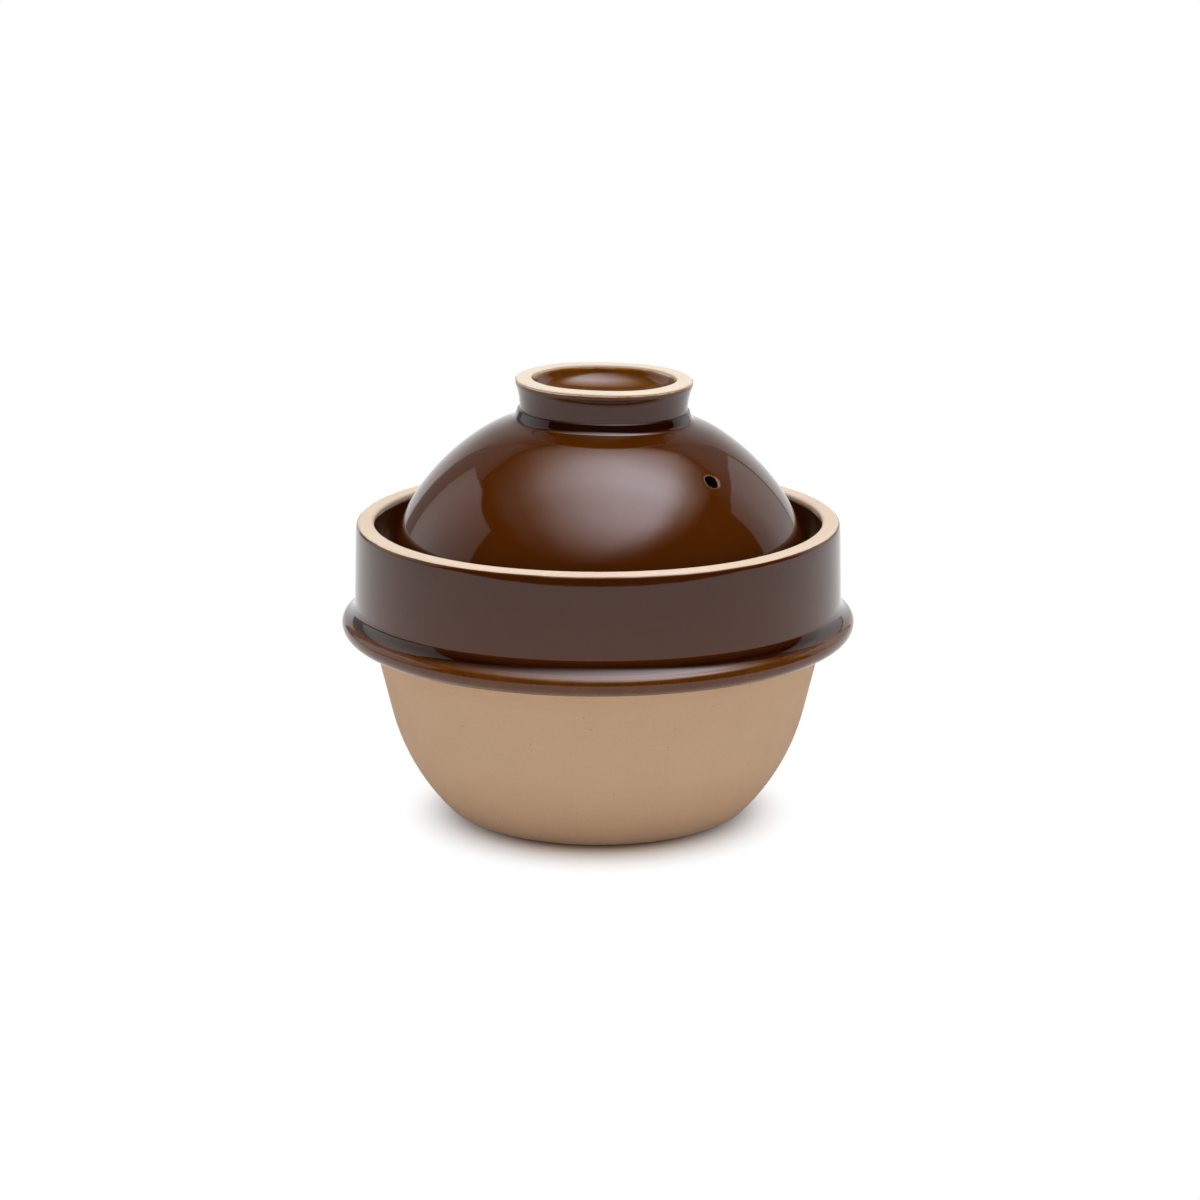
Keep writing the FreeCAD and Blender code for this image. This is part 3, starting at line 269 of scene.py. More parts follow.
def collar_skin():
    """The glaze's outer profile, from under the flange's edge up to the rim."""
    lean = math.radians(COLLAR_LEAN)
    aside = COLLAR_RADIUS - UPPER[0] + (GLAZE + GLAZE_POOL) / math.cos(lean)
    span = FLANGE_TOP_ROUNDING + GLAZE + GLAZE_POOL
    rise = span
    for _ in range(20):
        across = aside - rise * math.tan(lean)
        rise = math.sqrt(span ** 2 - across ** 2)
    pool = (UPPER[0] + across, UPPER[1] + rise)
    toward = angle_to(UPPER, pool)
    return path(
        arc(LOWER, FLANGE_BOTTOM_ROUNDING + GLAZE, -GLAZE_REACH - GLAZE_MARGIN, 0, 0.3),
        arc(UPPER, FLANGE_TOP_ROUNDING + GLAZE, 0, toward, 0.3),
        arc(pool, GLAZE_POOL, toward + 180, 180 + COLLAR_LEAN, 0.3),
        rim_curve(GLAZE, RIM_GLAZED),
    )


def dome_rows(outward, last):
    """Crown rows from the side's join up to an angle, the same for every depth.

    They are spaced evenly about the steam hole, so that its rim can be cut along them.
    """
    middle = 90 - HOLE_TIP
    first = math.ceil((CROWN_JOIN - middle) / CROWN_STEP) + 0.5
    angles = [CROWN_JOIN]
    turn = middle + first * CROWN_STEP
    while turn < last - 0.6 * CROWN_STEP:
        if turn > CROWN_JOIN + 0.2 * CROWN_STEP:
            angles.append(turn)
        turn += CROWN_STEP
    angles.append(last)
    return [off(DOME, CROWN_RADIUS + outward, a) for a in angles]


def sag(points, foot):
    """Crown points lowered near the step: the crown is a little flatter there than a ball."""
    lowered = []
    for point in points:
        here = angle_to(DOME, point)
        radius = math.dist(DOME, point)
        share = min(max(math.radians(foot - here) * radius / SAG_REACH, 0), 1)
        lower = SAG * (1 - share * share * math.exp(2 * (1 - share)))
        lowered.append(off(DOME, radius - lower, here))
    return lowered


def dome_side(outward, height):
    """The lid's side from a height up to the crown's join."""
    centre = (LID_RADIUS - LID_SIDE_RADIUS, SEAT_HEIGHT)
    radius = LID_SIDE_RADIUS + outward
    return arc(centre, radius, math.degrees(math.asin((height - SEAT_HEIGHT) / radius)),
               CROWN_JOIN)


FLARE = (KNOB_WAIST + KNOB_FLARE, CROWN_CENTRE + CROWN_RADIUS - KNOB_WAIST_DROP)
RING_TOP = CROWN_CENTRE + CROWN_RADIUS + KNOB_HEIGHT
WELL_FLOOR = CROWN_CENTRE + CROWN_RADIUS - WELL_SINK


def flare_angle(height, radius):
    """Angle on the ring's hollow side, seen from its profile's centre, at a height."""
    return 180 - math.degrees(math.asin((height - FLARE[1]) / radius))


def step_hollow():
    """Centre of the hollow in which the step's leaning side runs into the crown."""
    edge = (STEP_RADIUS - STEP_EDGE, STEP_TOP - STEP_EDGE)
    lean = math.radians(STEP_LEAN)
    out = edge[0] * math.cos(lean) + edge[1] * math.sin(lean) + STEP_EDGE + STEP_FILLET
    lift = CROWN_CENTRE * math.sin(lean)
    along = math.sqrt((CROWN_RADIUS + GLAZE - SAG + STEP_FILLET) ** 2 - (out - lift) ** 2)
    return ((out - lift) * math.cos(lean) - along * math.sin(lean),
            CROWN_CENTRE + (out - lift) * math.sin(lean) + along * math.cos(lean))


STEP_TOP = CROWN_CENTRE + CROWN_RADIUS - STEP_DROP
STEP_FOOT = angle_to(DOME, step_hollow())


def lid_skin():
    """The outer glaze's profile: the lid's side, the crown, the step under the ring, the ring."""
    flare = KNOB_FLARE - GLAZE
    edge = (STEP_RADIUS - STEP_EDGE, STEP_TOP - STEP_EDGE)
    corner = (FLARE[0] - math.sqrt((flare - STEP_CORNER) ** 2
                                   - (STEP_TOP + STEP_CORNER - FLARE[1]) ** 2),
              STEP_TOP + STEP_CORNER)
    side_foot = angle_to(FLARE, corner) % 360
    return path(
        dome_side(GLAZE, SEAT_HEIGHT + LIP_BARE - SKIN_START),
        sag(dome_rows(GLAZE, STEP_FOOT), STEP_FOOT),
        arc(step_hollow(), STEP_FILLET, STEP_FOOT + 180, STEP_LEAN + 180, 0.15),
        arc(edge, STEP_EDGE, STEP_LEAN, 90, 0.05),
        arc(corner, STEP_CORNER, 270, side_foot, 0.08),
        arc(FLARE, flare, side_foot, flare_angle(RING_TOP - SKIN_END, flare), 0.4),
    )


def lid_clay_outside():
    """The lid's clay under its glaze: side, crown and the knob ring's hollow side."""
    foot = off(DOME, CROWN_RADIUS - SAG, RING_ANGLE)
    return path(
        dome_side(0, SEAT_HEIGHT + LIP_BARE - CLAY_START),
        sag(dome_rows(0, RING_ANGLE), STEP_FOOT),
        arc(FLARE, KNOB_FLARE, angle_to(FLARE, foot) % 360,
            flare_angle(RING_TOP - CLAY_END, KNOB_FLARE)),
    )


def well_skin(inset, top):
    """The well's profile, from the middle of its floor up its wall."""
    corner = (WELL_RADIUS - WELL_CORNER_WIDE, WELL_FLOOR + WELL_CORNER_HIGH)
    wide, high = WELL_CORNER_WIDE - inset, WELL_CORNER_HIGH - inset
    turns = [math.radians(-90 + 3 * i) for i in range(31)]
    return path(
        line((0, WELL_FLOOR + inset), (corner[0], WELL_FLOOR + inset)),
        [(corner[0] + wide * math.cos(t), corner[1] + high * math.sin(t)) for t in turns],
        line((WELL_RADIUS - inset, corner[1]), (WELL_RADIUS - inset, top), 0.3),
    )


# Meshes

TURNS = np.radians(HOLE_TURN) + 2 * np.pi * (np.arange(COLUMNS) + 0.5) / COLUMNS
RANDOM = np.random.default_rng(7)


def ripple(size, waves=(2, 3, 5, 9, 14, 23, 37, 58)):
    """A gentle wave once round, about as high as size, made of a few sines."""
    wave = np.zeros(COLUMNS)
    for count in waves:
        start = RANDOM.uniform(0, 2 * np.pi)
        wave += np.sin(count * TURNS + start) * RANDOM.uniform(0.5, 1) / count ** 0.45
    return wave * size / np.abs(wave).max()


def spin(profile):
    """Points (rows, columns, 3) of a profile turned once round."""
    radius, height = np.asarray(profile)[:, 0, None], np.asarray(profile)[:, 1, None]
    return np.stack([radius * np.cos(TURNS), radius * np.sin(TURNS),
                     np.broadcast_to(height, (len(profile), COLUMNS))], axis=2)


def nearest(points, clay):
    """The closest point on a clay profile for each point of a skin profile."""
    starts, spans = clay[:-1], np.diff(clay, axis=0)
    found = []
    for point in points:
        share = ((point - starts) * spans).sum(axis=1) / (spans ** 2).sum(axis=1)
        candidates = starts + spans * np.clip(share, 0, 1)[:, None]
        found.append(candidates[((candidates - point) ** 2).sum(axis=1).argmin()])
    return np.array(found)


def edge_fade(distance, width=0.9):
    """How full the glaze is at a distance inside its edge: it rises in a rounded step."""
    share = np.clip(distance / width, 0, 1)
    return 1 - (1 - share) ** 2


# How far a coat's edge dips into the clay, and how deep its back lies in it
BURIED = 0.06
BACKING = 0.25


def coat(skin, clay, first_edge=None, last_edge=None, hole=None):
    """Points and thickness of a coat of glaze that thins out along wavy edges.

    An edge is its distance along the profile from that end, for each column. The rows
    go along the skin and come back inside the clay.
    """
    foot = nearest(skin, clay)
    outward = skin - foot
    thick = np.linalg.norm(outward, axis=1)
    outward = outward / thick[:, None]
    along = np.concatenate([[0], np.cumsum(np.linalg.norm(np.diff(skin, axis=0), axis=1))])
    full = np.ones((len(skin), COLUMNS))
    if first_edge is not None:
        full *= edge_fade(along[:, None] - first_edge[None, :])
    if last_edge is not None:
        full *= edge_fade((along[-1] - along)[:, None] - last_edge[None, :])
    outer, under = spin(skin), spin(foot - outward * BACKING)
    if hole is not None:
        outer, under = pierce(outer, skin, hole), pierce(under, foot - outward * BACKING, hole)
        full *= HOLE_THIN + (1 - HOLE_THIN) * edge_fade(hole_gap(outer), HOLE_FADE)
    depth = (thick[:, None] + BURIED) * full - BURIED
    clay_points = outer - direction(outward) * thick[:, None, None]
    outer = clay_points + direction(outward) * depth[:, :, None]
    thickness = np.concatenate([depth, depth[::-1]])
    return np.concatenate([outer, under[::-1]]), np.clip(thickness, 0, None)


def direction(outward):
    """Profile directions as directions in space, for every column."""
    return np.stack([outward[:, 0, None] * np.cos(TURNS), outward[:, 0, None] * np.sin(TURNS),
                     np.broadcast_to(outward[:, 1, None], (len(outward), COLUMNS))], axis=2)


# The steam hole: a block of cells is left out of the grid, and the points round it are
# drawn in or out so that the block's rim becomes a circle

HOLE_AXIS = np.array([math.sin(math.radians(HOLE_TIP)) * math.cos(math.radians(HOLE_TURN)),
                      math.sin(math.radians(HOLE_TIP)) * math.sin(math.radians(HOLE_TURN)),
                      math.cos(math.radians(HOLE_TIP))])
CROWN = np.array([0, 0, CROWN_CENTRE])
# Half the block's cells, the cells out to which points move, and the block's middle column
HOLE_CELLS = 3.5
HOLE_REACH = 12
HOLE_COLUMN = -0.5
# The glaze starts this far from the hole, at this share of its full depth, and rises over
# this width
HOLE_BARE, HOLE_THIN, HOLE_FADE = 0.08, 0.45, 0.8


def about_hole(points):
    """How far along the steam hole's axis points lie, and their offsets from that axis."""
    out = points - CROWN
    along = out @ HOLE_AXIS
    return along, out - along[..., None] * HOLE_AXIS


def hole_gap(points):
    """How far points lie outside the uneven bare ring round the steam hole."""
    along, aside = about_hole(points)
    side = np.array([-HOLE_AXIS[1], HOLE_AXIS[0], 0])
    turn = np.arctan2(aside[:, :, 2], aside @ (side / np.linalg.norm(side)))
    bare = HOLE_BARE * (1 + 0.3 * np.sin(2 * turn + 1) + 0.2 * np.sin(5 * turn))
    far = 1000 * (along < 0)
    return np.linalg.norm(aside, axis=2) - HOLE_RADIUS - bare + far


def hole_row(profile):
    """Row number, ending in a half, at which the steam hole lies on a profile."""
    turn = np.degrees(np.arctan2(profile[:, 1] - CROWN_CENTRE, profile[:, 0]))
    below = turn < 90 - HOLE_TIP
    return np.nonzero(below[:-1] != below[1:])[0][0] + 0.5


def eased(share):
    """A share kept from 0 to 1, with a soft start and end."""
    share = np.clip(share, 0, 1)
    return share * share * (3 - 2 * share)


def pierce(points, profile, radius):
    """Draws the points round the steam hole so that a hole of that radius can be left."""
    middle = hole_row(np.asarray(profile))
    rows = np.arange(len(points))[:, None] - middle
    columns = (np.arange(COLUMNS)[None, :] + COLUMNS // 2) % COLUMNS - COLUMNS // 2 - HOLE_COLUMN
    cells = np.maximum(np.abs(rows), np.abs(columns)) / HOLE_CELLS
    reach = HOLE_REACH / HOLE_CELLS
    ball = np.linalg.norm(points - CROWN, axis=2)
    along, aside = about_hole(points)
    distance = np.linalg.norm(aside, axis=2)
    share = eased((cells - 1) / (reach - 1))
    wanted = radius * cells * (1 - share) + distance * share
    moved = aside / np.maximum(distance, 1e-9)[:, :, None] * wanted[:, :, None]
    height = np.sqrt(np.maximum(ball ** 2 - wanted ** 2, 0))
    moved = CROWN + moved + height[:, :, None] * HOLE_AXIS
    near = (cells > 0) & (cells < reach) & (along > 0)
    return np.where(near[:, :, None], moved, points)


def lean_knob(points):
    """Leans everything near the lid's top like the knob ring, about the crown's centre."""
    out = points - CROWN
    tip = np.degrees(np.arccos(np.clip(out[:, :, 2] / np.linalg.norm(out, axis=2), -1, 1)))
    turn = KNOB_LEAN * eased((LEAN_END - tip) / LEAN_FADE)
    x, z = out[:, :, 0].copy(), out[:, :, 2].copy()
    out[:, :, 0] = x * np.cos(turn) + z * np.sin(turn)
    out[:, :, 2] = z * np.cos(turn) - x * np.sin(turn)
    return out + CROWN + [LID_OFFSET, 0, 0]


def settle(points):
    """The slight unevenness of a turned and fired pot: never outwards or upwards."""
    turn = np.arctan2(points[:, 1], points[:, 0])
    radius = np.hypot(points[:, 0], points[:, 1])
    height = points[:, 2]
    bulge = np.sin(2 * turn + 0.6 + height * 0.02) + np.sin(3 * turn + 2.0 - height * 0.03)
    inward = UNEVEN_SIDE * (2 + bulge)
    share = np.minimum(radius / UNEVEN_FROM, 1)
    sway = np.sin(2 * turn + 2.4) + np.sin(5 * turn + 0.5)
    down = UNEVEN_DOWN * (2 + sway * share ** 2) * height / RIM_HEIGHT
    scale = 1 - inward * share / np.maximum(radius, 1)
    return np.stack([points[:, 0] * scale, points[:, 1] * scale, height - down], axis=1)


def block_rim(rows, columns):
    """Grid places round a block, in order, without repeating the first."""
    low, high = rows
    left, right = columns
    places = [(low, c) for c in range(left, right)]
    places += [(r, right) for r in range(low, high)]
    places += [(high, c) for c in range(right, left, -1)]
    places += [(r, left) for r in range(high, low, -1)]
    return places


def add_object(name, corners, faces, material):
    mesh = bpy.data.meshes.new(name)
    mesh.from_pydata(corners, [], faces)
    mesh.materials.append(material)
    made = bpy.data.objects.new(name, mesh)
    bpy.context.scene.collection.objects.link(made)
    return made


def piece(name, points, body, material, nodes, closed=True, poles=(False, False),
          thickness=None, hole_rows=None, rings=()):
    """Makes a piece of the model from a grid of points.

    hole_rows are the two rows, one on each face, at which the steam hole lies; rings are
    the hole's wall between them as (share of the way, radius).
    """
    rows = len(points)
    ids = np.arange(rows * COLUMNS).reshape(rows, COLUMNS)
    if poles[0]:
        ids[0] = ids[0, 0]
    if poles[1]:
        ids[-1] = ids[-1, 0]
    left_out = np.zeros((rows, COLUMNS), bool)
    spare = points.reshape(-1, 3)
    thick = np.zeros(rows * COLUMNS) if thickness is None else thickness.reshape(-1)
    faces = []
    if hole_rows is not None:
        columns = (int(-HOLE_CELLS - 0.5), int(HOLE_CELLS - 0.5))
        rims = []
        for way, middle in zip(("up", "down"), hole_rows):
            low, high = int(middle - HOLE_CELLS), int(middle + HOLE_CELLS)
            for row in range(low, high):
                for column in range(*columns):
                    left_out[row, column % COLUMNS] = True
            places = block_rim((low, high), columns)
            if way == "down":
                places = [(low + high - row, column) for row, column in places]
            rims.append(np.array([ids[row, column % COLUMNS] for row, column in places]))
        loops = [rims[0]]
        outer, inner = spare[rims[0]] - CROWN, spare[rims[1]] - CROWN
        for share, radius in rings:
            aside = outer - (outer @ HOLE_AXIS)[:, None] * HOLE_AXIS
            aside *= radius / np.linalg.norm(aside, axis=1)[:, None]
            along = (outer @ HOLE_AXIS) * (1 - share) + (inner @ HOLE_AXIS) * share
            ring = CROWN + aside + along[:, None] * HOLE_AXIS
            loops.append(np.arange(len(spare), len(spare) + len(ring)))
            spare = np.concatenate([spare, ring])
            thick = np.concatenate([thick, np.full(len(ring), GLAZE)])
        loops.append(rims[1])
        for near, far in zip(loops[:-1], loops[1:]):
            faces.append(np.stack([near, np.roll(near, -1), np.roll(far, -1), far], axis=1))
    last = rows if closed else rows - 1
    here, after = np.arange(last), (np.arange(last) + 1) % rows
    quads = np.stack([ids[here], np.roll(ids[here], -1, axis=1),
                      np.roll(ids[after], -1, axis=1), ids[after]], axis=2)
    faces.append(quads[~left_out[here]].reshape(-1, 4))
    faces = np.concatenate(faces)
    faces = [tuple(dict.fromkeys(face)) for face in faces.tolist()]
    if body == "lid":
        spare = lean_knob(spare[None])[0]
    used = np.unique(np.concatenate([np.array(face) for face in faces]))
    renumber = np.full(len(spare), -1)
    renumber[used] = np.arange(len(used))
    made = add_object(name, (settle(spare[used]) * MM).tolist(),
                      [tuple(int(renumber[i]) for i in face) for face in faces], material)
    made.data.attributes.new("glaze", "FLOAT", "POINT").data.foreach_set(
        "value", thick[used].astype(np.float32))
    tidy_mesh(made.data)
    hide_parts(*nodes)
    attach(made, body)
    return made


def tidy_mesh(mesh):
    """Turns all faces outwards and shades them smooth, but for real edges."""
    form = bmesh.new()
    form.from_mesh(mesh)
    bmesh.ops.recalc_face_normals(form, faces=form.faces)
    form.to_mesh(mesh)
    form.free()
    mesh.shade_smooth()
    mesh.set_sharp_from_angle(angle=math.radians(SHARP_EDGE))


# Pieces' grids

def back(points):
    """A profile walked the other way."""
    return np.asarray(points)[::-1]


def below(profile, height):
    """The part of a profile, walked upwards, that lies below a height, ending there."""
    profile = np.asarray(profile)
    last = np.nonzero(profile[:, 1] >= height)[0][0]
    start, end = profile[last - 1], profile[last]
    share = (height - start[1]) / (end[1] - start[1])
    return np.concatenate([profile[:last], [start + (end - start) * share]]), profile[last:]


bowl_in_low, bowl_in_high = below(bowl_inside(0, SEAT_HEIGHT - NOSE_ROUNDING), SHOULDER_HEIGHT)
bowl_points = spin(path(bowl_outside(), line((BOWL_TOP, SHOULDER_HEIGHT), bowl_in_low[-1]),
                        back(bowl_in_low)))
collar_points = spin(path(collar_outside(), collar_inside(), back(bowl_in_high),
                          line(bowl_in_low[-1], (BOWL_TOP, SHOULDER_HEIGHT))[:-1]))
flange_points = spin(flange_clay())

collar_clay = path(
    arc(LOWER, FLANGE_BOTTOM_ROUNDING, FLANGE_SLOPE - 90, 0),
    arc(UPPER, FLANGE_TOP_ROUNDING, 0, 90),
    [(COLLAR_RADIUS + FLANGE_LUTING, FLANGE_HEIGHT + FLANGE_TOP_ROUNDING)],
    [(COLLAR_RADIUS, FLANGE_HEIGHT + FLANGE_TOP_ROUNDING + FLANGE_LUTING)],
    rim_curve(0, 90),
)


def lid_inside(outward, height):
    """The lid's inner profile, from the middle of its top down to a height."""
    return path(back(dome_rows(outward, 90)), back(dome_side(outward, height)))


def lid_lip():
    """The lid's lower edge, from the end of its inner side to the start of its outer side."""
    side = (LID_RADIUS - LID_SIDE_RADIUS, SEAT_HEIGHT)
    lip = LIP_ROUNDING
    outer = (side[0] + math.sqrt((LID_SIDE_RADIUS - lip) ** 2 - lip ** 2), SEAT_HEIGHT + lip)
    inner = (side[0] + math.sqrt((LID_SIDE_RADIUS - LID_WALL + lip) ** 2 - lip ** 2),
             SEAT_HEIGHT + lip)
    return path(arc(inner, lip, angle_to(side, inner) + 180, 270, 0.3),
                arc(outer, lip, -90, angle_to(side, outer), 0.3))


lip_rows = lid_lip()
lid_inner_rows = lid_inside(-LID_WALL, lip_rows[0][1])
lid_outer_rows = path(dome_side(0, lip_rows[-1][1]),
                      sag(dome_rows(0, UNDER_RING_ANGLE), STEP_FOOT))
lid_points = np.concatenate([
    pierce(spin(lid_inner_rows), lid_inner_rows, HOLE_RADIUS),
    spin(lip_rows[1:-1]),
    pierce(spin(lid_outer_rows), lid_outer_rows, HOLE_RADIUS + HOLE_CHAMFER),
    spin(line((LID_TOP_RADIUS, WELL_FLOOR - BURIED), (0, WELL_FLOOR - BURIED))),
])
lid_holes = (hole_row(lid_inner_rows),
             len(lid_inner_rows) + len(lip_rows) - 2 + hole_row(lid_outer_rows))
chamfer_start = 1 - HOLE_CHAMFER / LID_WALL
lid_rings = [(share, HOLE_RADIUS) for share in (0.02, 0.25, 0.5, 0.75, chamfer_start)]

ring_edge_rise = RING_TOP - KNOB_ROUNDING - FLARE[1]
ring_edge = (FLARE[0] - math.sqrt((KNOB_FLARE + KNOB_ROUNDING) ** 2 - ring_edge_rise ** 2),
             RING_TOP - KNOB_ROUNDING)
ring_foot = (FLARE[0] - math.sqrt(KNOB_FLARE ** 2 - (KNOB_FOOT - FLARE[1]) ** 2), KNOB_FOOT)
knob_points = spin(path(
    arc(FLARE, KNOB_FLARE, angle_to(FLARE, ring_foot) % 360, angle_to(ring_edge, FLARE) + 180),
    arc(ring_edge, KNOB_ROUNDING, angle_to(ring_edge, FLARE), 90, 0.15),
    arc((WELL_RADIUS + WELL_ROUNDING, RING_TOP - WELL_ROUNDING), WELL_ROUNDING, 90, 180, 0.15),
    back(well_skin(0, RING_TOP - WELL_ROUNDING))[:-WELL_HEART_ROWS],
    line((WELL_HEART, WELL_FLOOR - WELL_HEART_SINK), ring_foot)[:-1],
))


def coat_piece(name, skin, clay, body, node, hole=None, **edges):
    """A coat of glaze as a piece; one that starts on the axis covers it like a cap."""
    points, thickness = coat(skin, clay, hole=hole, **edges)
    rows = None
    if hole is not None:
        rows = (hole_row(skin), 2 * len(skin) - 1 - hole_row(skin))
    cap = skin[0][0] < 0.01
    return piece(name, points, body, glaze(node), [node], closed=not cap,
                 poles=(cap, cap), thickness=thickness, hole_rows=rows)


# Materials

class Surface:
    """A procedural material on one shader, laid out in the object's own coordinates."""

    def __init__(self, name):
        self.material = bpy.data.materials.new(name)
        self.material.use_nodes = True
        self.tree = self.material.node_tree
        self.shader = self.tree.nodes["Principled BSDF"]
        self.place = self.add("ShaderNodeTexCoord").outputs["Object"]

    def add(self, kind, **settings):
        node = self.tree.nodes.new(kind)
        for name, value in settings.items():
            setattr(node, name, value)
        return node

    def feed(self, socket, value):
        if isinstance(value, bpy.types.NodeSocket):
            self.tree.links.new(value, socket)
        else:
            socket.default_value = value

    def along(self, axis):
        """The place along one axis, in metres."""
        places = self.add("ShaderNodeSeparateXYZ")
        self.feed(places.inputs[0], self.place)
        return places.outputs[axis]

    def vector(self, operation, value):
        """A vector operation on the coordinates with a fixed value."""
        node = self.add("ShaderNodeVectorMath", operation=operation)
        self.feed(node.inputs[0], self.place)
        node.inputs[1].default_value = value
        return node

    def from_axis(self, shift=0.0):
        """The distance on the floor from the pot's axis, or from a place in front of it."""
        place = self.vector("ADD", (0, shift, 0))
        length = self.add("ShaderNodeVectorMath", operation="LENGTH")
        self.feed(length.inputs[0], place.outputs[0])
        return length.outputs["Value"]

    def noise(self, size, detail, roughness, shift, place=None):
        """Noise from 0 to 1 whose spots are about so many millimetres across."""
        node = self.add("ShaderNodeTexNoise", noise_dimensions="4D")
        self.feed(node.inputs["Vector"], place or self.place)
        node.inputs["W"].default_value = shift
        node.inputs["Scale"].default_value = 1000 / size
        node.inputs["Detail"].default_value = detail
        node.inputs["Roughness"].default_value = roughness
        return node.outputs["Fac"]

    def specks(self, spacing, size, share, shift):
        """1 in scattered round specks, 0 elsewhere; share of the cells have one."""
        cells = self.add("ShaderNodeTexVoronoi", voronoi_dimensions="4D")
        self.feed(cells.inputs["Vector"], self.place)
        cells.inputs["W"].default_value = shift
        cells.inputs["Scale"].default_value = 1000 / spacing
        spot = self.scale(cells.outputs["Distance"], size / spacing, 0.4 * size / spacing, 0, 1)
        pick = self.add("ShaderNodeSeparateColor")
        self.feed(pick.inputs[0], cells.outputs["Color"])
        chosen = self.scale(pick.outputs[0], share, share * 0.7, 0, 1)
        return self.math("MULTIPLY", spot, chosen)

    def scale(self, value, low, high, to_low, to_high, kind="LINEAR"):
        node = self.add("ShaderNodeMapRange", interpolation_type=kind)
        self.feed(node.inputs["Value"], value)
        for name, number in (("From Min", low), ("From Max", high),
                             ("To Min", to_low), ("To Max", to_high)):
            node.inputs[name].default_value = number
        return node.outputs["Result"]

    def math(self, operation, first, second):
        node = self.add("ShaderNodeMath", operation=operation)
        self.feed(node.inputs[0], first)
        self.feed(node.inputs[1], second)
        return node.outputs[0]

    def mix(self, share, first, second):
        node = self.add("ShaderNodeMix", data_type="RGBA")
        self.feed(node.inputs["Factor"], share)
        self.feed(node.inputs[6], first)
        self.feed(node.inputs[7], second)
        return node.outputs[2]

    def ramp(self, value, stops):
        node = self.add("ShaderNodeValToRGB")
        self.feed(node.inputs["Fac"], value)
        band = node.color_ramp.elements
        while len(band) < len(stops):
            band.new(0.5)
        for element, (position, colour) in zip(band, stops):
            element.position = position
            element.color = (*colour, 1)
        return node.outputs["Color"]

    def bump(self, height, depth, strength, under=None):
        """Relief of a height from 0 to 1 that stands for a depth in millimetres."""
        node = self.add("ShaderNodeBump")
        self.feed(node.inputs["Height"], height)
        node.inputs["Strength"].default_value = strength
        node.inputs["Distance"].default_value = depth * MM
        if under is not None:
            self.feed(node.inputs["Normal"], under)
        return node.outputs["Normal"]


def clay(name, colours):
    """Fine bare clay, and dark glaze on it wherever the piece's glaze attribute says so.

    The colours are two for its clouds, one for its light grain, one for the faint bands of
    the turning and one for its flecks.
    """
    made = Surface(name)
    clouds, dust, band, fleck = colours
    level = made.vector("MULTIPLY", (0.02, 0.02, 1.0)).outputs[0]
    bands = made.noise(1.6, 3, 0.55, 2, level)
    spots = made.noise(14, 3, 0.5, 5)
    grain = made.noise(0.5, 4, 0.65, 1)
    colour = made.ramp(spots, clouds)
    colour = made.mix(made.scale(grain, 0.35, 0.7, 0.0, 0.75), colour, dust)
    colour = made.mix(made.scale(bands, 0.35, 0.65, 0.0, 0.08), colour, band)
    flecks = made.specks(2.2, 0.36, 0.45, 3)
    colour = made.mix(made.scale(flecks, 0, 1, 0, 0.6), colour, fleck)
    glazed = made.add("ShaderNodeAttribute", attribute_name="glaze").outputs["Fac"]
    glazed = made.scale(glazed, 0, 0.1, 0, 1)
    colour = made.mix(glazed, colour, BORE_GLAZE)
    made.feed(made.shader.inputs["Base Color"], colour)
    made.feed(made.shader.inputs["Roughness"], made.scale(glazed, 0, 1, 0.88, 0.2))
    made.shader.inputs["Specular IOR Level"].default_value = 0.35
    relief = made.bump(bands, 0.03, 0.5)
    relief = made.bump(grain, 0.03, 0.8, relief)
    made.feed(made.shader.inputs["Normal"], relief)
    return made.material


def glaze(name):
    """Amber brown glaze: the thinner it lies, the more of the clay shows through."""
    made = Surface(name)
    attribute = made.add("ShaderNodeAttribute", attribute_name="glaze")
    depth = attribute.outputs["Fac"]
    cloud = made.noise(5.0, 3, 0.55, 4)
    mottle = made.noise(0.8, 3, 0.6, 8)
    uneven = made.math("ADD", made.scale(cloud, 0.3, 0.7, 0.93, 1.07),
                       made.scale(mottle, 0.25, 0.75, -0.06, 0.06))
    depth = made.math("MULTIPLY", depth, uneven)
    if name in GLAZE_DEPTH:
        depth = made.math("MULTIPLY", depth, made.scale(made.along("Z"), *GLAZE_DEPTH[name]))
    deep = GLAZE_SCALE.get(name, GLAZE_SCALE["lid_glaze"])
    colour = made.ramp(made.scale(depth, 0, deep, 0, 1), GLAZE_COLOURS)
    flecks = made.specks(1.7, 0.15, 0.6, 6)
    colour = made.mix(made.scale(flecks, 0, 1, 0, 0.5), colour, GLAZE_FLECK)
    made.feed(made.shader.inputs["Base Color"], colour)
    smooth, grainy = GLAZE_ROUGHNESS.get(name, GLAZE_ROUGHNESS["lid_glaze"])
    rough = made.scale(mottle, 0.3, 0.7, smooth, grainy)
    thin = made.scale(attribute.outputs["Fac"], 0.0, 0.12, 0.35, 0.0)
    made.feed(made.shader.inputs["Roughness"], made.math("ADD", rough, thin))
    peel = made.noise(1.4, 2, 0.5, 9)
    waves = made.noise(9.0, 2, 0.5, 11)
    relief = made.bump(waves, 0.10, 0.3)
    relief = made.bump(peel, 0.010, 0.5, relief)
    made.feed(made.shader.inputs["Normal"], relief)
    return made.material


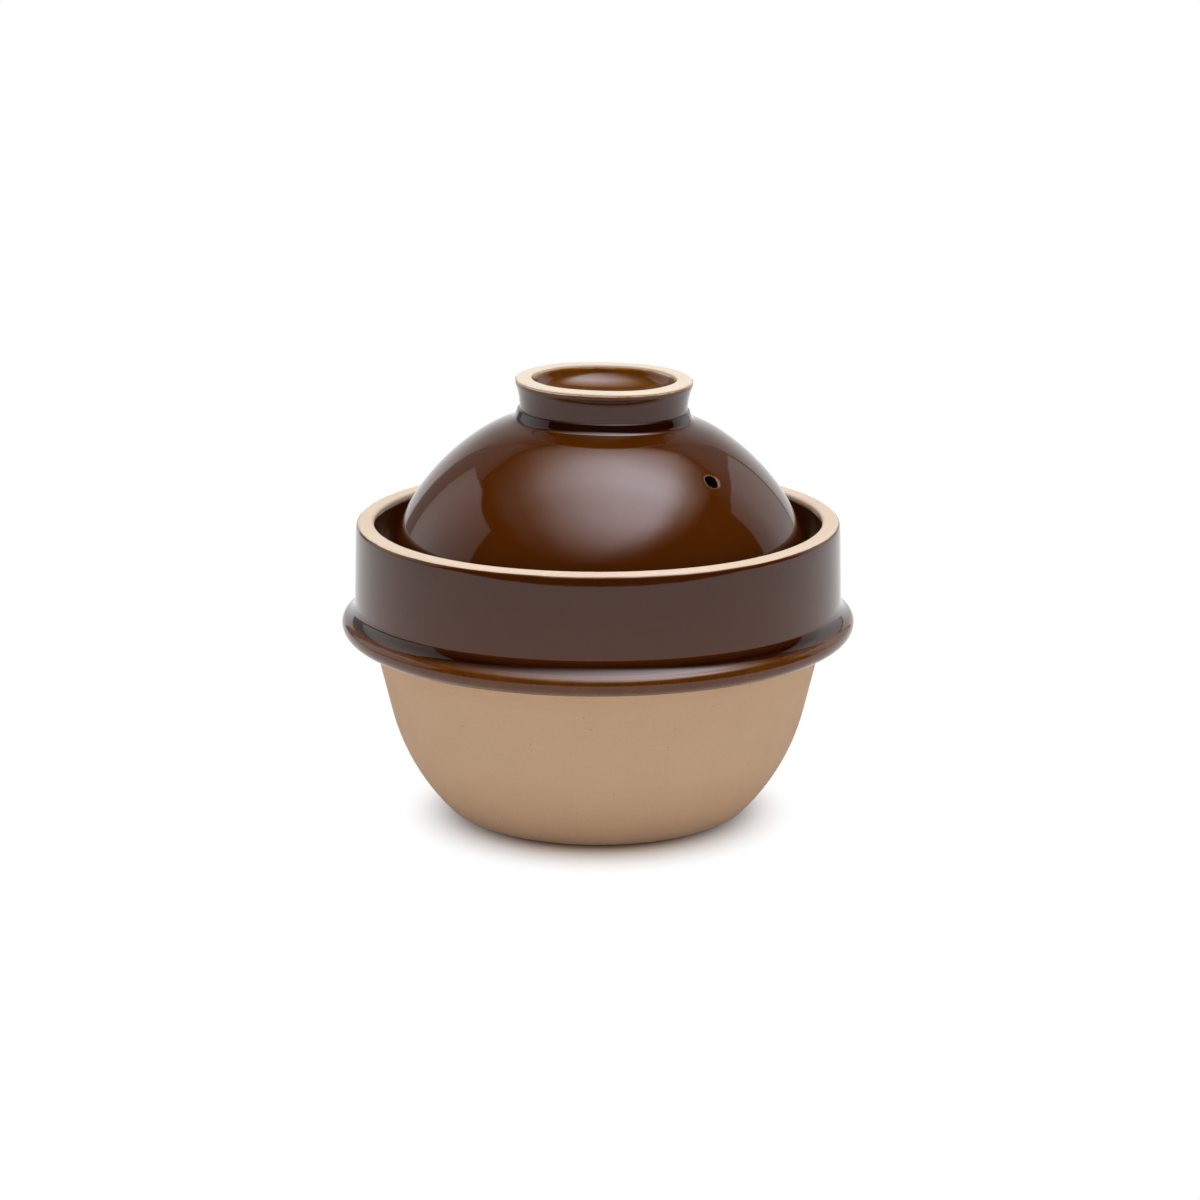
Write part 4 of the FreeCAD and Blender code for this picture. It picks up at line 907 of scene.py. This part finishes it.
TAN_CLAY = ([(0.30, (0.575, 0.400, 0.262)), (0.70, (0.615, 0.435, 0.290))],
            (0.66, 0.485, 0.340, 1), (0.52, 0.350, 0.225, 1), (0.24, 0.13, 0.07, 1))
PALE_CLAY = ([(0.30, (0.76, 0.635, 0.51)), (0.70, (0.81, 0.69, 0.565))],
             (0.85, 0.75, 0.64, 1), (0.70, 0.56, 0.43, 1), (0.50, 0.34, 0.21, 1))
RIM_CLAY = ([(0.30, (0.72, 0.565, 0.43)), (0.70, (0.77, 0.62, 0.48))],
            (0.81, 0.68, 0.56, 1), (0.66, 0.51, 0.38, 1), (0.46, 0.31, 0.19, 1))
BORE_GLAZE = (0.012, 0.004, 0.0015, 1)
# The depth in millimetres at which a glaze reaches the last of its colours
GLAZE_SCALE = {"collar_glaze": 0.70, "collar_inner_glaze": 0.9, "lid_glaze": 1.10,
               "knob_well_glaze": 1.5}
# The glaze's colour from bare clay to its deepest, at shares of that depth
GLAZE_COLOURS = [(0.0, (0.52, 0.33, 0.17)), (0.05, (0.36, 0.165, 0.030)),
                 (0.14, (0.20, 0.068, 0.005)), (0.29, (0.073, 0.0170, 0.0010)),
                 (0.60, (0.040, 0.0080, 0.0008)), (1.0, (0.014, 0.0025, 0.0006))]
GLAZE_FLECK = (0.018, 0.005, 0.001, 1)
# The glaze is deeper on the knob ring's side and thinner on the flange: between two heights
# in metres its depth goes from one factor to another
GLAZE_DEPTH = {"lid_glaze": (0.1195, 0.1212, 1.0, 1.6),
               "collar_glaze": (0.0605, 0.0640, 0.50, 1.0)}
# Roughness of the glaze's smooth and grainy spots
GLAZE_ROUGHNESS = {"collar_glaze": (0.05, 0.09), "collar_inner_glaze": (0.10, 0.16),
                   "lid_glaze": (0.04, 0.07)}

# Pieces

piece("bowl_clay", bowl_points, "pot", clay("bowl_clay", TAN_CLAY), ["pot_bowl"],
      closed=False, poles=(True, True))
piece("collar_clay", collar_points, "pot", clay("collar_clay", RIM_CLAY),
      ["pot_collar"])
piece("flange_clay", flange_points, "pot", clay("flange_clay", TAN_CLAY),
      ["pot_flange"])
coat_piece("collar_coat", collar_skin(), collar_clay, "pot", "collar_glaze",
           first_edge=0.45 + ripple(0.30), last_edge=0.50 + ripple(0.22))
bore_wall = [(BORE_RADIUS, SEAT_HEIGHT + SEAT_CORNER), (BORE_RIM, RIM_HEIGHT - RIM_ROUNDING)]
coat_piece("collar_inner_coat",
           np.array(line(*[(r - GLAZE, z) for r, z in bore_wall], 0.35)),
           np.array(line(*bore_wall)), "pot", "collar_inner_glaze",
           first_edge=0.4 + ripple(0.3), last_edge=0.3 + ripple(0.2))
coat_piece("bowl_coat", bowl_inside(GLAZE, SEAT_HEIGHT - SEAT_LIP / 2),
           bowl_inside(0, SEAT_HEIGHT - NOSE_ROUNDING), "pot", "bowl_glaze",
           last_edge=0.6 + ripple(0.4))

piece("lid_clay", lid_points, "lid", clay("lid_clay", PALE_CLAY), ["lid_dome"],
      closed=False, poles=(True, True), hole_rows=lid_holes, rings=lid_rings)
piece("knob_clay", knob_points, "lid", clay("knob_clay", PALE_CLAY), ["knob_ring"])
coat_piece("lid_coat", lid_skin(), lid_clay_outside(), "lid", "lid_glaze",
           hole=HOLE_RADIUS + HOLE_CHAMFER,
           first_edge=1.0 + ripple(0.35), last_edge=0.4 + ripple(0.22))
coat_piece("well_coat", well_skin(GLAZE, RING_TOP - WELL_ROUNDING),
           well_skin(0, RING_TOP - WELL_ROUNDING), "lid", "knob_well_glaze",
           last_edge=0.35 + ripple(0.25))
lid_inner_end = SEAT_HEIGHT + LIP_BARE
coat_piece("lid_inner_coat", lid_inside(-LID_WALL - GLAZE, lid_inner_end),
           lid_inside(-LID_WALL, lid_inner_end), "lid", "lid_inner_glaze",
           hole=HOLE_RADIUS + HOLE_CHAMFER, last_edge=0.5 + ripple(0.4))

# Studio

def emitter(name, strength):
    """A plain glowing material, the start of the softboxes' and the room's materials."""
    made = Surface(name)
    made.tree.nodes.remove(made.shader)
    glow = made.add("ShaderNodeEmission")
    made.feed(glow.inputs["Strength"], strength)
    output = made.tree.nodes["Material Output"]
    made.tree.links.new(glow.outputs[0], output.inputs["Surface"])
    return made, glow


def staged(name, corners, faces, material):
    made = add_object(name, corners, faces, material)
    return made


def sheet(name, corners, material, seen):
    """A glowing sheet: either the glaze reflects it, or it isn't seen and lights things."""
    made = staged(name, corners, [tuple(range(len(corners)))], material)
    made.visible_camera = False
    made.visible_shadow = False
    made.visible_glossy = seen
    made.visible_transmission = seen
    made.visible_diffuse = not seen


def rectangle(x, y, z):
    return [(x[0], y[0], z), (x[1], y[0], z), (x[1], y[1], z), (x[0], y[1], z)]


# The big soft light over the pot, as the glaze reflects it: brightest over the pot and to
# the right, with a sharp edge there that runs off to the front left, and fading on the other
# sides. Along each direction it is a share of its full strength at places given in metres.
SHEET_HEIGHT, SHEET_STRENGTH = 1.5, 6.9
# Its colour at shares of its full strength: warm where it fades
SHEET_TINTS = [(0.0, (1.0, 0.70, 0.55)), (0.20, (1.0, 0.80, 0.73)), (0.50, (1.0, 0.89, 0.91)),
               (0.80, (1.0, 0.92, 0.98)), (1.0, (1.0, 0.93, 1.0))]
SHEET_X = [(-1.45, 0.0), (-1.20, 0.05), (-0.95, 0.085), (-0.75, 0.19), (-0.55, 0.38),
           (-0.35, 0.55), (-0.15, 0.73), (0.05, 0.86), (0.25, 0.98), (0.60, 1.0),
           (0.75, 0.92), (0.85, 0.74), (0.95, 0.52), (1.05, 0.32), (1.40, 0.0)]
SHEET_Y = [(-2.20, 0.0), (-1.90, 0.08), (-1.65, 0.17), (-1.40, 0.31), (-1.15, 0.46),
           (-0.90, 0.60), (-0.65, 0.76), (-0.40, 0.84), (-0.10, 1.0), (0.10, 0.90),
           (0.30, 0.62), (0.40, 0.49), (0.55, 0.35), (0.70, 0.22), (0.90, 0.0)]
SHEET_SLANT = math.radians(33)
SHEET_ACROSS = [(0.92, 1.0), (1.05, 0.85), (1.15, 0.70), (1.25, 0.54), (1.35, 0.41),
                (1.50, 0.25), (1.70, 0.09), (2.00, 0.0)]


def fading(surface, value, stops):
    """A share, or a colour, that follows the stops along one direction."""
    low, high = stops[0][0], stops[-1][0]
    colours = [((place - low) / (high - low), share if isinstance(share, tuple) else (share,) * 3)
               for place, share in stops]
    return surface.ramp(surface.scale(value, low, high, 0, 1), colours)


overhead, overhead_glow = emitter("overhead", SHEET_STRENGTH)
share = overhead.math("MULTIPLY", fading(overhead, overhead.along("X"), SHEET_X),
                      fading(overhead, overhead.along("Y"), SHEET_Y))
across = overhead.vector("DOT_PRODUCT", (math.cos(SHEET_SLANT), -math.sin(SHEET_SLANT), 0))
share = overhead.math("MULTIPLY", share, fading(overhead, across.outputs["Value"], SHEET_ACROSS))
overhead.feed(overhead_glow.inputs["Strength"], overhead.math("MULTIPLY", share, SHEET_STRENGTH))
overhead.feed(overhead_glow.inputs["Color"], fading(overhead, share, SHEET_TINTS))
sheet("overhead", rectangle((SHEET_X[0][0], SHEET_X[-1][0]), (SHEET_Y[0][0], SHEET_Y[-1][0]),
                            SHEET_HEIGHT), overhead.material, seen=True)

# What lights the clay, at plain, even levels: a sheet over the pot, one in front that leans
# towards it a little, and one on each side. Their places are in metres.
FILL_STRENGTH, FRONT_STRENGTH, SIDE_STRENGTH = 2.75, 0.7, 1.0
FILL_X, FILL_Y = (-0.8, 1.0), (-1.1, 0.6)
FRONT_CORNERS = [(-2.2, -1.5, 0.0), (2.2, -1.5, 0.0), (2.2, -1.4, 1.3), (-2.2, -1.4, 1.3)]
SIDE_X, SIDE_CORNERS = 1.6, [(-0.9, 0.0), (1.3, 0.0), (1.3, 1.2), (-0.9, 1.2)]


def fill(name, corners, strength):
    """A plain sheet that lights things and isn't seen."""
    sheet(name, corners, emitter(name, strength)[0].material, seen=False)


fill("fill_top", rectangle(FILL_X, FILL_Y, SHEET_HEIGHT), FILL_STRENGTH)
fill("fill_front", FRONT_CORNERS, FRONT_STRENGTH)
for side in (-SIDE_X, SIDE_X):
    fill("fill_side", [(side, y, z) for y, z in SIDE_CORNERS], SIDE_STRENGTH)

# Pale boards to the left and the right and a wall behind, which only the glaze shows. Each is
# a share of white at places along one axis, and has an outline in metres.
BOARD_LEFT = [(-0.25, 0.50), (0.15, 0.80), (0.55, 0.96), (0.85, 0.90), (1.25, 0.60)]
BOARD_RIGHT = [(0.30, 0.48), (0.45, 0.60), (0.80, 0.90), (1.40, 0.78), (2.00, 0.60)]
BACK_WALL = [(0.0, 1.0), (0.35, 0.92), (0.55, 0.78), (0.72, 0.62), (1.00, 0.50),
             (1.50, 0.30), (2.00, 0.12), (2.60, 0.05)]
BOARD_X, WALL_Y, WALL_HALF, WALL_TOP = 1.2, 1.6, 0.95, 2.6
LEFT_OUTLINE = [(-0.27, 0.12), (1.22, 0.12), (1.25, 1.2), (0.50, 1.24), (0.20, 1.12),
                (-0.25, 1.05)]
RIGHT_OUTLINE = [(0.30, 0.02), (1.95, 0.05), (1.90, 1.1), (1.30, 1.15), (0.55, 1.03),
                 (0.30, 0.95)]
WALL_OUTLINE = [(-WALL_HALF, 0.0), (WALL_HALF, 0.0), (WALL_HALF, WALL_TOP), (-WALL_HALF, WALL_TOP)]


def board(name, corners, axis, stops):
    """A glowing board that is a share of white along one axis."""
    made, glow = emitter(name, 1.0)
    made.feed(glow.inputs["Strength"], fading(made, made.along(axis), stops))
    sheet(name, corners, made.material, seen=True)


board("board_left", [(-BOARD_X, y, z) for y, z in LEFT_OUTLINE], "Y", BOARD_LEFT)
board("board_right", [(BOARD_X, y, z) for y, z in RIGHT_OUTLINE], "Y", BOARD_RIGHT)
board("back_wall", [(x, WALL_Y, z) for x, z in WALL_OUTLINE], "Z", BACK_WALL)

# The floor lies just under the base. Close to the pot it keeps the pot's rendered shadow, made
# deeper by a painted shadow in the floor's colour;
# further out it is plain white to the camera. In reflections it is white up to the table's front
# edge.
SHADOW_NEAR, SHADOW_FAR, SHADOW_SHIFT = 0.034, 0.0605, 0.011
TABLE_FRONT, TABLE_EDGE, FLOOR_REACH, FLOOR_SINK = 0.85, 0.05, 9.0, 0.00005
DARK_ROOM, GREY_ROOM = 0.01, 0.26
# The floor's colour at distances from the pot's axis: a painted shadow with a painted warm bounce
# from the clay, dark only under the bowl, then the floor's own pale colour further out
FLOOR_PAINTED_SHADOW_COLOURS = [(0.042, (0.24, 0.16, 0.11)), (0.047, (0.40, 0.29, 0.22)),
                 (0.055, (0.70, 0.58, 0.48)), (0.080, (0.80, 0.73, 0.67))]
ground = Surface("floor")
outside = ground.scale(ground.from_axis(SHADOW_SHIFT), SHADOW_NEAR, SHADOW_FAR, 0, 1,
                       "SMOOTHSTEP")
rays = ground.add("ShaderNodeLightPath")
mirrored = ground.math("MAXIMUM", rays.outputs["Is Glossy Ray"],
                       rays.outputs["Is Transmission Ray"])
plain = ground.math("MULTIPLY", outside, rays.outputs["Is Camera Ray"])
plain = ground.math("MAXIMUM", plain, mirrored)
past_table = ground.scale(ground.along("Y"), -TABLE_FRONT, -TABLE_FRONT - TABLE_EDGE, 0, 1)
past_table = ground.math("MULTIPLY", past_table, mirrored)
white = ground.add("ShaderNodeEmission")
ground.feed(white.inputs["Strength"], ground.scale(past_table, 0, 1, 1.0, DARK_ROOM))
both = ground.add("ShaderNodeMixShader")
ground.feed(both.inputs["Fac"], plain)
ground.tree.links.new(ground.shader.outputs[0], both.inputs[1])
ground.tree.links.new(white.outputs[0], both.inputs[2])
ground.tree.links.new(both.outputs[0], ground.tree.nodes["Material Output"].inputs["Surface"])
# Painted shadow: the floor's colour darkens towards the pot's base, which also dims the light the
# floor throws back up at the bowl
ground.feed(ground.shader.inputs["Base Color"],
            fading(ground, ground.from_axis(), FLOOR_PAINTED_SHADOW_COLOURS))
ground.shader.inputs["Roughness"].default_value = 1.0
ground.shader.inputs["Specular IOR Level"].default_value = 0.0
circle = [(FLOOR_REACH * math.cos(t), FLOOR_REACH * math.sin(t), -FLOOR_SINK)
          for t in np.linspace(0, 2 * math.pi, 97)[:-1]]
staged("floor", circle, [tuple(range(len(circle)))], ground.material)

# The dark room round the table is only seen in the glaze. It leaves the back open.
ROOM_RADIUS, ROOM_TOP, ROOM_FOOT = 3.5, 3.0, -0.00004
room_turns = np.radians(np.arange(-155, 156, 10))
walls = [(ROOM_RADIUS * math.sin(t), -ROOM_RADIUS * math.cos(t), z)
         for z in (ROOM_FOOT, ROOM_TOP) for t in room_turns]
count = len(room_turns)
panels = [(i, i + 1, count + i + 1, count + i) for i in range(count - 1)]
ceiling = tuple(range(count, 2 * count))
ROOM_Y = [(-3.5, DARK_ROOM), (0.9, DARK_ROOM), (2.4, GREY_ROOM), (3.5, GREY_ROOM)]
gloom, room_glow = emitter("room", DARK_ROOM)
gloom.feed(room_glow.inputs["Strength"], fading(gloom, gloom.along("Y"), ROOM_Y))
room = staged("room", walls, panels + [ceiling], gloom.material)
room.visible_camera = False
room.visible_diffuse = False
room.visible_shadow = False
room.visible_transmission = False

# The world is white to the camera and in reflections, and lights the object at this level
WORLD_LEVEL = 0.5
world = bpy.data.worlds.new("studio")
bpy.context.scene.world = world
world.use_nodes = True
nodes, links = world.node_tree.nodes, world.node_tree.links
light_path = nodes.new("ShaderNodeLightPath")
shown = light_path.outputs["Is Camera Ray"]
for ray in ("Is Glossy Ray", "Is Transmission Ray"):
    either = nodes.new("ShaderNodeMath")
    either.operation = "MAXIMUM"
    links.new(shown, either.inputs[0])
    links.new(light_path.outputs[ray], either.inputs[1])
    shown = either.outputs[0]
level = nodes.new("ShaderNodeMapRange")
level.inputs["To Min"].default_value = WORLD_LEVEL
level.inputs["To Max"].default_value = 1.0
links.new(shown, level.inputs["Value"])
links.new(level.outputs["Result"], nodes["Background"].inputs["Strength"])

# Camera, as fitted to the photograph: it looks down by its pitch, in degrees
CAMERA_PLACE, CAMERA_PITCH = (0.0006, -0.88483, 0.29481), 14.676
LENS, SENSOR = 89.96, 36
camera_data = bpy.data.cameras.new("camera")
camera_data.lens = LENS
camera_data.sensor_width = SENSOR
camera_data.clip_start, camera_data.clip_end = 0.05, 60
camera = bpy.data.objects.new("camera", camera_data)
camera.location = CAMERA_PLACE
camera.rotation_euler = (math.radians(90 - CAMERA_PITCH), 0, 0)
bpy.context.scene.collection.objects.link(camera)
bpy.context.scene.camera = camera
bpy.context.scene.view_settings.view_transform = "Standard"
